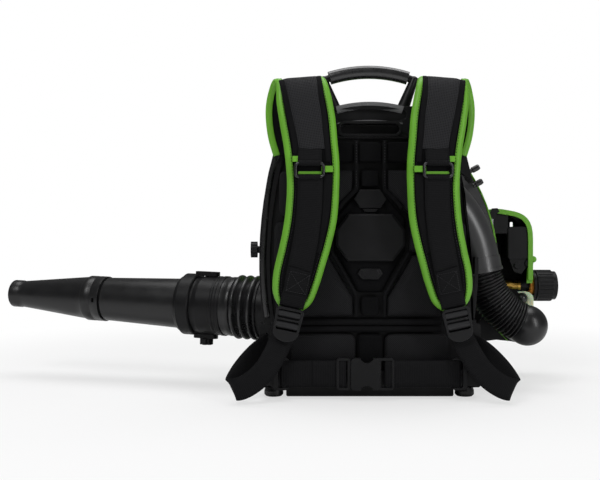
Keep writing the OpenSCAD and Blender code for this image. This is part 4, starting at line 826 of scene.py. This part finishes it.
def make_adjuster():
    """The left adjuster: two windows over the rolled webbing, and a rounded lip to lift it by."""
    corner, lip = arc((16.5, 19), 6, 0, 90, 6), arc((0, -14), 20.5, 180, 360, 18, 15)
    piece = plate("adjuster_frame_left", corner + flipped(corner) + lip, (0, 9), "adjuster_black")
    carve(piece, *[plate("window", rounded(low, high, 2.5), (-2, 12)) for low, high in ADJUSTER_WINDOWS])
    for vertex in piece.data.vertices:
        u, depth, v = vertex.co * 1000 - Vector((0, PADS_FRONT, 0))
        vertex.co = in_adjuster(u, v, ADJUSTER_FACE + depth)
    return piece


def make_webbing():
    down = ribbon("strap_webbing_down_left", WEBBING, 0.0395)
    tail = ribbon("strap_tail_left", TAIL, 0.037, tail_across, steps=110)
    tab = [ribbon("tab_face", TAB, 0.038, thickness=0.003, steps=16)]
    x, depth, z = RING
    tab += [tube_along("sleeve", (x - 17, depth, z + rise), (x + 17, depth, z + rise), 4.6, "webbing")
            for rise in (-11, 11)]
    tab = join("strap_tab_left", tab)
    patch = ribbon("patch", [(x, depth - 1.7, z) for x, depth, z in PATCH], 0.0375, steps=24)
    box = join("strap_box_stitch_left", [patch] + stitched_box((-119.4, -53.7, 193), 16, 0.21, -0.15))
    rolls = join("adjuster_rolls_left", [roll(14.4, 6.0), roll(-3.5, 6.2)])
    adjuster = make_adjuster()
    settle_pair(down, "webbing", "strap_webbing", "strap_webbing")
    settle_pair(tab, "webbing")
    settle_pair(tail, "webbing", "tail_webbing_left", "tail_webbing_right")
    for piece in (box, rolls):
        settle_pair(piece, "webbing")
    settle_pair(adjuster, "black_plastic", "adjuster_left", "adjuster_right")


def belt_loop(name, low, high):
    """A belt folded round the bars at both ends, its two runs lying close together between them."""
    free = (high - low - 2 * BELT_CLOSED) / 2
    steps = np.linspace(0, 1, 14)
    path = []
    for centre, side in ((high, 1), (low, -1)):
        near, far = BELT_DEPTH - side * BELT_GAP, BELT_DEPTH + side * BELT_GAP
        path += [(centre - side * (BELT_CLOSED + free * (1 - t)), near) for t in steps]
        path += arc((centre, BELT_DEPTH), side * BELT_TURN, -62, 62, 12)
        path += [(centre - side * (BELT_CLOSED + free * t), far) for t in steps[:-1]]
    places = []
    for i, (x, depth) in enumerate(path):
        before, after = path[i - 1], path[(i + 1) % len(path)]
        t = Vector((after[0] - before[0], after[1] - before[1], 0)).normalized()
        side = Vector((0, 0, 1))
        places.append((at(x, depth, BELT_HEIGHT), side, t.cross(side)))
    return sweep(name, places, flat_section(BELT_WIDTH, 0.0019), "webbing", closed=True)


def make_belts():
    crossing(belt_loop("waist_belt_left", -143, -46), "belt_left", "webbing", "pack", "belt_plug",
             at(-138, BELT_DEPTH, BELT_HEIGHT), at(-52, BELT_DEPTH, BELT_HEIGHT))
    settle(belt_loop("waist_belt_right", 26, 139), "webbing", "belt_right")


make_webbing()
make_belts()


# ---------------- back frame
# The right rail leaves the duct in view: its edge in x and z, from the top down
DUCT_SIDE = [(152, 373), (153.6, 364), (159.3, 337), (161.9, 309), (167.5, 261), (169.5, 232)]
DUCT_SIDE_LOW = [(169.5, 232), (169.5, 225), (172.8, 128)]
LEFT_RAIL = [(-146.5, 436), (-152.4, 408), (-163, 373), (-170.8, 324), (-176, 258), (-177, 216), (-174, 164),
             (-170, 132)]
# Sections of the bar along the top arch and of the lip above the grip recess, rearwards and outwards
RIM_SECTION = [(-0.006, -0.006), (-0.006, -0.005), (-0.005, -0.0035), (0.003, 0.005), (0.005, 0.0055),
               (0.007, 0.0055), (0.007, -0.006)]
LIP_SECTION = [(-0.001, -0.0011), (-0.001, 0.0), (0.0002, 0.0011), (0.0012, 0.0011), (0.0012, -0.0011)]


def thin_wall(name, line, depth):
    """A wall 3 mm thick along x, z points."""
    return plate(name, line + [(x - 3, z) for x, z in line[::-1]], depth)


def arched_bar(name, middle, radius, depth, half_angle, steps, section):
    """A bar on an arc over the point at that height on the middle plane."""
    line = [at(x, depth, z) for x, z in arc((0, middle), radius, 90 - half_angle, 90 + half_angle, steps)]
    # The bar takes the rim's painted highlight.
    return sweep(name, stations(line, (0, 1, 0)), section, "rim_gloss_painted_highlight")


def make_frame():
    moulding = copy_of("back_frame", "frame_moulding")
    upper = [(160, 367), (171, 357), (200, 357), (200, 232), *DUCT_SIDE[::-1]]
    lower = [(200, 128), (200, 233), *DUCT_SIDE_LOW]
    carve(moulding, plate("cut", upper, (-20, 60)), plate("cut", lower, (-20, 26)), angle=9)
    grip_floor = plate("grip_floor", rounded((-50, 436.6), (50, 456), 8), (33, 37.6))
    walls = [thin_wall("upper_wall", DUCT_SIDE, (12, 42)), thin_wall("lower_wall", DUCT_SIDE_LOW, (12, 26))]
    settle(join("frame_moulding", [moulding, *walls, grip_floor]), "black_plastic", "back_frame")
    rim = arched_bar("frame_rim", 277, 207.5, 14, 15.4, 40, RIM_SECTION)
    lip = arched_bar("lip", 159.5, 300, 11.4, 10.5, 30, LIP_SECTION)
    settle(crisp(join("frame_rim", [rim, lip])), "gloss_black")
    rail = path_along([(x, 14, z) for x, z in LEFT_RAIL], 80, (0, 1, 0))
    settle(sweep("frame_rail", rail, ring(0.005, 24, 0.0055), "gloss_black"), "gloss_black")
    settle(plate("base_skirt", rounded((-139, 1.5), (139, 17), 3), (9, 15)), "black_plastic")


make_frame()


# ---------------- back pads
PAD_BACK = 19.8
VOXEL = 0.0045
SIM_FRAMES = 20
# How far a pad may swell sideways, in millimetres
SIDE_SWELL = 1.2


def cushion(outline, front, finish, cap):
    """A closed cloth form over an outline in millimetres, still flat; cap is how far its face may swell."""
    piece = plate("cushion", outline, (front + cap * 0.75, PAD_BACK), finish)
    modify(piece, "REMESH", mode="VOXEL", voxel_size=VOXEL)
    piece["cap"] = cap
    return piece


def swell(pieces):
    """Blows up all the cushions in one run of the cloth solver, then holds each within its own room."""
    for piece in pieces:
        cloth = piece.modifiers.new("cloth", "CLOTH")
        cloth.settings.use_pressure = True
        cloth.settings.uniform_pressure_force = 4
        cloth.settings.effector_weights.gravity = 0
    for step in range(1, SIM_FRAMES + 1):
        bpy.context.scene.frame_set(step)
    shapes = bpy.context.evaluated_depsgraph_get()
    for piece in pieces:
        blown = [v.co.copy() for v in piece.evaluated_get(shapes).data.vertices]
        piece.modifiers.clear()
        room = Vector((SIDE_SWELL, piece["cap"], SIDE_SWELL)) / 1000
        for vertex, new in zip(piece.data.vertices, blown):
            vertex.co += Vector([bounded(move, -most, most) for move, most in zip(new - vertex.co, room)])
            vertex.co.y = min(vertex.co.y, at(0, PAD_BACK, 0).y)
        del piece["cap"]
        modify(piece, "SUBSURF", levels=1)
        smooth_shaded(piece.data)
    bpy.context.scene.frame_set(1)


def nearest(spot, a, b):
    run = b - a
    return a + run * bounded((spot - a).dot(run) / run.length_squared, 0, 1)


def press_in(piece, outline, depth, width):
    """A sewn edge: draws the front face back along a closed line of x, z points in millimetres."""
    line = [Vector(p) for p in outline]
    for vertex in piece.data.vertices:
        if vertex.co.y <= at(0, PAD_BACK * 0.6, 0).y:
            spot = Vector((vertex.co.x, vertex.co.z)) * 1000
            near = min((spot - nearest(spot, a, b)).length for a, b in zip(line, line[1:] + line[:1]))
            vertex.co.y += depth / 1000 * math.exp(-(near / width) ** 2)


def piping(line, depth, width, thick):
    """A raised rib along x, z points on the pads' front, fuller than an ellipse."""
    path = path_along([(x, depth, z) for x, z in line], 10 * len(line), (1, 0, 0.02))
    outline = [(width / 2000 * math.copysign(abs(c) ** 0.6, c), thick / 2000 * s) for c, s in ring(1, 16)]
    return sweep("rib", path, outline, "smooth_tape")


def dots_up(x, low, high):
    """A row of dots up one of the ribs, between two heights."""
    path = path_along([(x, -5.0, z) for z in (low, (low + high) / 2, high)], 60)
    return bead_row("dots", path, RIB_STITCH, "grey_thread")


UPPER_MESH = [(27, 378), (104, 378), (112, 340), (112, 240), (67, 240), (67, 299), (55, 311), (27, 341)]
LOWER_MESH = [(27, 134), (118, 134), (116, 236), (68, 236), (27, 167)]
SIDE_PADS = [((126, 300), (150, 375)), ((128, 213), (158, 291)), ((127, 134), (156, 205))]
# Right half of the foam behind the badge
SPINE_FOAM = [(20, 344), (49, 310), (61, 296), (61, 243), (21, 172)]
RIB_SIDE = 23.5
SPINE_RIB = [(RIB_SIDE, 425), (RIB_SIDE, 386), (RIB_SIDE, 348), (30, 338), (44, 324), (52, 313)]
LOW_RIB = [(64, 240), (52, 220), (38, 196), (24, 171), (RIB_SIDE, 160), (RIB_SIDE, 134)]


def make_pads():
    upper = [cushion(rounded((low, 389), (high, 423), r), -3, "pad_fabric", 5)
             for low, high, r in ((-21, 21, 4), (26, 74, 5), (-74, -26, 5))]
    spine = [cushion(outline, front, "pad_fabric", 3)
             for outline, front in ((rounded((-15.5, 348), (15.5, 377.5), 3), -2),
                                    (rounded((-16, 135), (16, 167), 3), -2),
                                    (flipped(SPINE_FOAM)[-1:] + SPINE_FOAM + flipped(SPINE_FOAM)[:-1], 4))]
    mesh_lines = [UPPER_MESH, flipped(UPPER_MESH), LOWER_MESH, flipped(LOWER_MESH)]
    mesh = [cushion(outline, -4, "mesh_fabric", 6) for outline in mesh_lines]
    sides = [rounded(low, high, 8) for low, high in SIDE_PADS]
    sides = [cushion(outline, -6, "mesh_fabric", 6) for line in sides for outline in (line, flipped(line))]
    lumbar = rounded((24, 54), (131, 105), 10)
    lumbar = [cushion(rounded((-21.5, 54), (21.5, 105), 4), -8, "pad_fabric", 6),
              cushion(lumbar, -8, "mesh_fabric", 7), cushion(flipped(lumbar), -8, "mesh_fabric", 7)]
    swell(upper + spine + mesh + sides + lumbar)
    for piece, outline in zip(mesh, mesh_lines):
        press_in(piece, outline, 2.5, 3.0)
    for name, pieces, node, slot in (("upper_cushions", upper, "upper_pad", "pad_fabric"),
                                     ("spine_cushions", spine, "spine_pad", "pad_fabric"),
                                     ("mesh_cushions", mesh, "mesh_pads", "mesh_fabric"),
                                     ("side_cushions", sides, "side_pads", "mesh_fabric"),
                                     ("lumbar_cushions", lumbar, "lumbar_pad", "pad_fabric")):
        settle(join(name, pieces), slot, node, fill=0.6)
    ribs, dots = [], []
    for sign in (-1, 1):
        ribs += [piping([(sign * x, z) for x, z in SPINE_RIB], -1.5, 7, 7),
                 piping([(sign * x, z) for x, z in LOW_RIB], -0.5, 5.5, 6)]
        dots += [dots_up(sign * RIB_SIDE, *heights) for heights in ((388, 424), (349, 377))]
    ribs += [tube_along("bead", (-117, 5, z), (117, 5, z), 5.2, "smooth_tape") for z in (125, 113.5)]
    settle(join("pad_ribs", ribs), "pad_fabric")
    settle(join("pad_stitches", dots), "webbing")


def raised(name, half, back, front, bevel):
    """A flat symmetrical boss with a bevelled edge all round, from one depth to a nearer one."""
    outline = half + flipped(half)
    middle = [sum(values) / len(outline) for values in zip(*outline)]
    share = 1 - bevel / max(math.dist(p, middle) for p in outline)
    inner = [[m + (p - m) * share for p, m in zip(point, middle)] for point in outline]
    n = len(outline)
    levels = ((outline, back), (outline, front + bevel * 0.55), (inner, front))
    points = [at(x, depth, z) for line, depth in levels for x, z in line]
    faces = [tuple(range(n)), tuple(range(3 * n - 1, 2 * n - 1, -1))]
    faces += [(i + r, i + r + n, (i + 1) % n + r + n, (i + 1) % n + r) for r in (0, n) for i in range(n)]
    return crisp(new_piece(name, points, faces, "black_plastic"), 20)


def make_spine_trim():
    """The hexagonal plate over the badge, the clip under it, and the bare badge, from their right halves."""
    hexagon, notch = [(17, 344), (27, 329), (17, 314)], [(13, 312.5), (9, 307.5)]
    clip = [(16, 214), (21, 205), (13, 196)]
    clip_face = [(x * 0.72, 205.5 + (z - 205) * 0.62) for x, z in clip]
    parts = [raised("hexagon", hexagon, 4, -2.5, 1.6), raised("clip", clip, 4, -1.5, 1.4),
             raised("clip_face", clip_face, 0, -2.6, 1.0), raised("notch", notch, 4, -2, 1.2)]
    settle(join("spine_trim", parts), "black_plastic")
    badge = [(37, 226), (57, 252), (57, 278), (37, 304)]
    settle(raised("badge_face", badge, 8, -4, 4.0), "black_plastic", "badge_plate")


make_pads()
make_spine_trim()


# ---------------- intake side
HOSE_DEPTH = 85
HOSE_PATH = [(198.4, 216.5), (201, 205), (206.5, 188), (215.5, 168), (231, 146), (251, 128), (274.5, 114.8)]
HOSE_RIBS = 22
# Share of the hose that is plain at its top; its radius there and between the ribs, and the ribs' height
HOSE_PLAIN = 0.045
HOSE_R, RIB_FOOT, RIB_HEIGHT = 0.0300, 0.0297, 0.0046
ELBOW = (281.5, 111.5)
ELBOW_R = 35.5
# How far back the elbow's mouth is, and the bars across it
ELBOW_BACK = 75
BAR_PITCH, BAR_CIRCLE = 8.5, 33


def make_hose():
    steps = 18 * HOSE_RIBS
    path = path_along([(x, HOSE_DEPTH, z) for x, z in HOSE_PATH], steps, (0, 1, 0))

    def section(i):
        phase = (i / (steps - 1) - HOSE_PLAIN) / (1 - HOSE_PLAIN)
        if phase <= 0:
            return ring(HOSE_R, 64)
        wave = (0.5 + 0.5 * math.sin(2 * math.pi * phase * HOSE_RIBS)) ** 0.75
        return ring(RIB_FOOT + RIB_HEIGHT * wave * min(1.0, (steps - 1 - i) / 26), 64)

    settle(sweep("ribbed_hose", path, section, "rubber"), "rubber", "intake_hose")


def make_elbow():
    x, z = ELBOW
    profile = arc((0, 0), ELBOW_R, 180, 90, 22)
    profile += [(3, ELBOW_R - 0.2), (ELBOW_BACK - 9, 35), (ELBOW_BACK - 9, 37.5), (ELBOW_BACK, 37.5),
                (ELBOW_BACK, 33), (ELBOW_BACK - 7, 32.5), (ELBOW_BACK - 7, 0)]
    parts = [lathe("elbow_moulding", at(x, HOSE_DEPTH, z), (0, 1, 0), profile, "elbow_plastic", 72)]
    for i in range(-3, 4):
        side = x + i * BAR_PITCH
        half = math.sqrt(BAR_CIRCLE ** 2 - (abs(i) * BAR_PITCH + 1) ** 2)
        outline = [(side - 1, z - half), (side + 1, z - half), (side + 1, z + half), (side - 1, z + half)]
        parts.append(plate("bar", outline, (HOSE_DEPTH + 70, HOSE_DEPTH + 72.5), "elbow_plastic"))
    settle(join("elbow_moulding", parts), "duct_plastic", "intake_elbow")


def make_bracket():
    """The arm from the base that the elbow lies in, and its green edge."""
    outline = [(170.3, 20), (178, 20), (206, 76), (240, 80), *arc(ELBOW, 35.4, 262, 150, 14), (240, 138),
               (218, 124), (170.3, 62)]
    arm = plate("elbow_arm", outline, (137, 149))
    foot = plate("elbow_foot", rounded((170.3, 20), (178, 43), 2), (123, 163))
    settle(join("elbow_arm", [arm, foot]), "green_plastic", "elbow_bracket")
    edge = [(228.2, 109.6), (229.2, 110.2), (261.6, 78.6), (260.4, 77.6)]
    settle(plate("elbow_arm_trim", edge, (135.6, 137.2), "green_plastic"), "green_plastic")


# The hood's outer line in x and z, from its upper left end over the corner and down the right side
HOOD = [(242, 317.5), (249, 320), (262, 318.6), (274, 316.6), (285, 314.4), (294, 311.6), (302, 307.6),
        (308.5, 302), (313.5, 295), (317, 286), (318.9, 275), (319.5, 262), (319.5, 186)]
HOOD_DEPTH = (184, 258)
# Its windows: two corners in x and z, and the depths between which each is cut
HOOD_WINDOWS = [((294, 284), (300.5, 296), (240, 270)), ((309, 281.5), (328, 286.5), (215, 240))]


def drawn_in(line, amount):
    """The line moved to its right by that much, square to itself."""
    moved = []
    for i, (x, z) in enumerate(line):
        a, b = line[max(i - 1, 0)], line[min(i + 1, len(line) - 1)]
        run = math.dist(a, b)
        moved.append((x + (b[1] - a[1]) / run * amount, z - (b[0] - a[0]) / run * amount))
    return moved


def hood_part(name, outline, depth, finish="green_plastic"):
    """A plate of the hood, with its windows cut out of it."""
    return carve(plate(name, outline, depth, finish),
                 *[plate("window", rounded(low, high, 1.5), reach) for low, high, reach in HOOD_WINDOWS])


def make_hood():
    cover = copy_of("engine_cover", "cover_shell")
    carve(cover, plate("cut", [(250.6, 181), (340, 181), (340, 330), (250.6, 330)], (181, 262)))
    flare = [(319.5, 234), (315.5, 224), (310, 207), (308.5, 180), (319.5, 180)]
    lug = [(0, 0), (0, 4.5), (1, 6), (15, 6), (16, 4.5), (16, 0)]
    parts = [hood_part("shell", HOOD + drawn_in(HOOD, 4.6)[::-1], HOOD_DEPTH),
             hood_part("rear", HOOD + [(236, 186), (236, 316)], (255, HOOD_DEPTH[1])),
             lathe("lug", at(322, 188, 224.7), (0, 1, 0), lug, "green_plastic"),
             plate("rim", HOOD + drawn_in(HOOD, 9)[::-1], (182, 185), "green_plastic"),
             plate("flare", flare, (186, 188.5), "green_plastic")]
    settle(join("cover_shell", [cover] + parts), "green_plastic", "engine_cover")
    near, far = drawn_in(HOOD, 4.8), drawn_in(HOOD, 6.2)
    shroud = [(228, 168), (323, 160), (323, 184), (319.4, 188), (319.4, 222), (274, 228), (274, 300),
              (262, 312), (236, 312)]
    parts = [hood_part("hood_lining", near + far[::-1], (187, 254.6), "inner_black"),
             hood_part("back", far + [(240, 190), (240, 312)], (253, 254.8), "inner_black"),
             plate("shroud", shroud, (236, 240), "inner_black")]
    settle(join("hood_lining", parts), "black_plastic")


def make_air_cleaner():
    """The air cleaner's plain front and foot with two levers, and the stay above it."""
    foot = [(275, 229), (285, 202), (299, 197), (308, 209), (321, 211), (322, 221), (312, 229)]
    stay = [(236, 305), (243, 320), (252, 320.5), (256, 314), (250, 309), (246, 300)]
    parts = [plate("cleaner_front", rounded((274, 226), (311, 285), 4), (184.8, 186.4)),
             plate("foot", foot, (188, 196))]
    for x, z, r in ((312, 217, 7), (291, 213, 6)):
        profile = [(0, 0), (0, r - 1), (1, r), (10, r)]
        parts.append(lathe("lever", at(x, 185, z), (0, 1, 0), profile, "black_plastic", 32))
    parts.append(plate("stay", stay, (178, 186)))
    settle(join("cleaner_front", parts), "black_plastic")


def around_neck(name, profile, finish):
    """A turned piece on the fuel filler's axis; its profile starts from the middle plane."""
    return lathe(name, at(0, 224, 174), (1, 0, 0), profile, finish)


def make_filler():
    brass = [(268, 0), (268, 9.7), (281, 9.7), (281.6, 10.1), (296, 10.1), (296.6, 9.7), (299, 9.7),
             (299.6, 10.8), (304.6, 10.8), (305.4, 10), (306, 0)]
    settle(around_neck("filler_fitting", brass, "brass"), "steel")
    neck = [(305.6, 0), (305.6, 9.6), (309, 9.7), (317, 10.2), (322.2, 10.2), (322.2, 0)]
    saddle = rounded((274, 157.4), (318.6, 170.6), 2)
    settle(join("filler_neck", [around_neck("filler_neck", neck, "black_plastic"),
                                plate("saddle", saddle, (216.6, 231.4), "inner_black")]), "black_plastic")
    gasket = [(321.8, 0), (321.8, 19.2), (324, 19.6), (327.2, 19.2), (327.2, 0)]
    settle(around_neck("filler_gasket", gasket, "gasket"), "rubber")


def make_tank():
    """The tank with its lower corner cut away, behind the dark guards that the photo shows."""
    guard = [(236, 84), (236, 160), (250, 170), (270, 171), (292, 168), (299, 158), (294, 148), (282, 146),
             (270, 128), (262, 84)]
    inner = [(196, 84), (196, 148), (238, 148), (238, 84)]
    settle(join("tank_guard", [plate("tank_guard", guard, (199.5, 203.8), "inner_black"),
                               plate("inner", inner, (182.4, 184.4), "inner_black")]), "black_plastic")
    tank = copy_of("fuel_tank", "tank_shell")
    carve(tank, plate("cut", [(206, 30), (262, 30), (262, 84), (206, 84)], (180, 292)))
    settle(tank, "tank_plastic", "fuel_tank")


make_hose()
make_elbow()
make_bracket()
make_hood()
make_air_cleaner()
make_filler()
make_tank()


# ---------------- blower tube
TUBE_ROOT = (-165, 109.5, 138.5)
TUBE_BACK, TUBE_RISE = math.radians(16), math.radians(2)
TUBE_DIR = Vector((-math.cos(TUBE_RISE) * math.cos(TUBE_BACK), math.cos(TUBE_RISE) * math.sin(TUBE_BACK),
                   math.sin(TUBE_RISE)))
# The bellows' ribs, where they run along the tube, its radius between them, their height, and its wall
BELLOWS_RIBS = 3
BELLOWS_RUN = (20.5, 67)
BELLOWS_R, BELLOWS_HEIGHT, BELLOWS_WALL = 50.5, 7.0, 2.2
CUFF_SKIRT = [(66.6, 47), (66.6, 52.4), (68, 53.2), (74, 53.2), (75, 52.6), (85.5, 52.6), (85.5, 50),
              (74, 47)]
# The nozzle is drawn shorter from here on, and its CAD end moves to its end
NOZZLE_BEND, NOZZLE_CAD_END, NOZZLE_END = 380, 540, 527
# The rope leaves the cover along a line that leans to the left of upright; the line starts at its middle
ROPE_FROM, ROPE_OUT, ROPE_LEAN = (-44, 300, 259), 38.2, math.radians(70)
ROPE_R = 2.2


def on_tube(station):
    return at(*TUBE_ROOT) + TUBE_DIR * station / 1000


def make_bellows():
    low, high = BELLOWS_RUN
    outside = []
    for station in np.linspace(low, high, 20 * BELLOWS_RIBS + 1):
        rise = 0.5 - 0.5 * math.cos(2 * math.pi * (station - low) / ((high - low) / BELLOWS_RIBS))
        outside.append((station, BELLOWS_R + BELLOWS_HEIGHT * rise ** 0.6))
    inside = [(station, r - BELLOWS_WALL) for station, r in outside[::-1]]
    tube = lathe("tube_bellows", on_tube(0), TUBE_DIR, outside + inside + outside[:1], "rubber", 96)
    crossing(crisp(tube, 70), "bellows", "rubber", "pack", "lower_tube", on_tube(30), on_tube(66))
    skirt = lathe("cuff_skirt", on_tube(0), TUBE_DIR, CUFF_SKIRT, "tube_plastic", 96)
    settle(skirt, "tube_plastic", body="lower_tube")


def make_nozzle():
    nozzle = copy_of("nozzle", "nozzle_cone")
    shorter = (NOZZLE_END - NOZZLE_BEND) / (NOZZLE_CAD_END - NOZZLE_BEND)
    for vertex in nozzle.data.vertices:
        past = (vertex.co - on_tube(0)).dot(TUBE_DIR) * 1000 - NOZZLE_BEND
        if past > 0:
            vertex.co -= TUBE_DIR * past * (1 - shorter) / 1000
    settle(crisp(nozzle), "tube_plastic", "nozzle", body="tube_nozzle")


def make_rope():
    """The starter's rope where it leaves the cover, in place of its CAD node."""
    direction = Vector((-math.sin(ROPE_LEAN), 0, math.cos(ROPE_LEAN)))
    outlet = at(*ROPE_FROM) + direction * ROPE_OUT / 1000
    profile = [(d, ROPE_R) for d in np.linspace(-12, 10.5, 10)]
    rope = lathe("pull_rope", outlet, direction, profile, "webbing", 16)
    crossing(rope, "starter_rope", "webbing", "pack", "starter_grip", outlet + direction * 0.001,
             outlet + direction * 0.0095)


make_bellows()
make_nozzle()
make_rope()
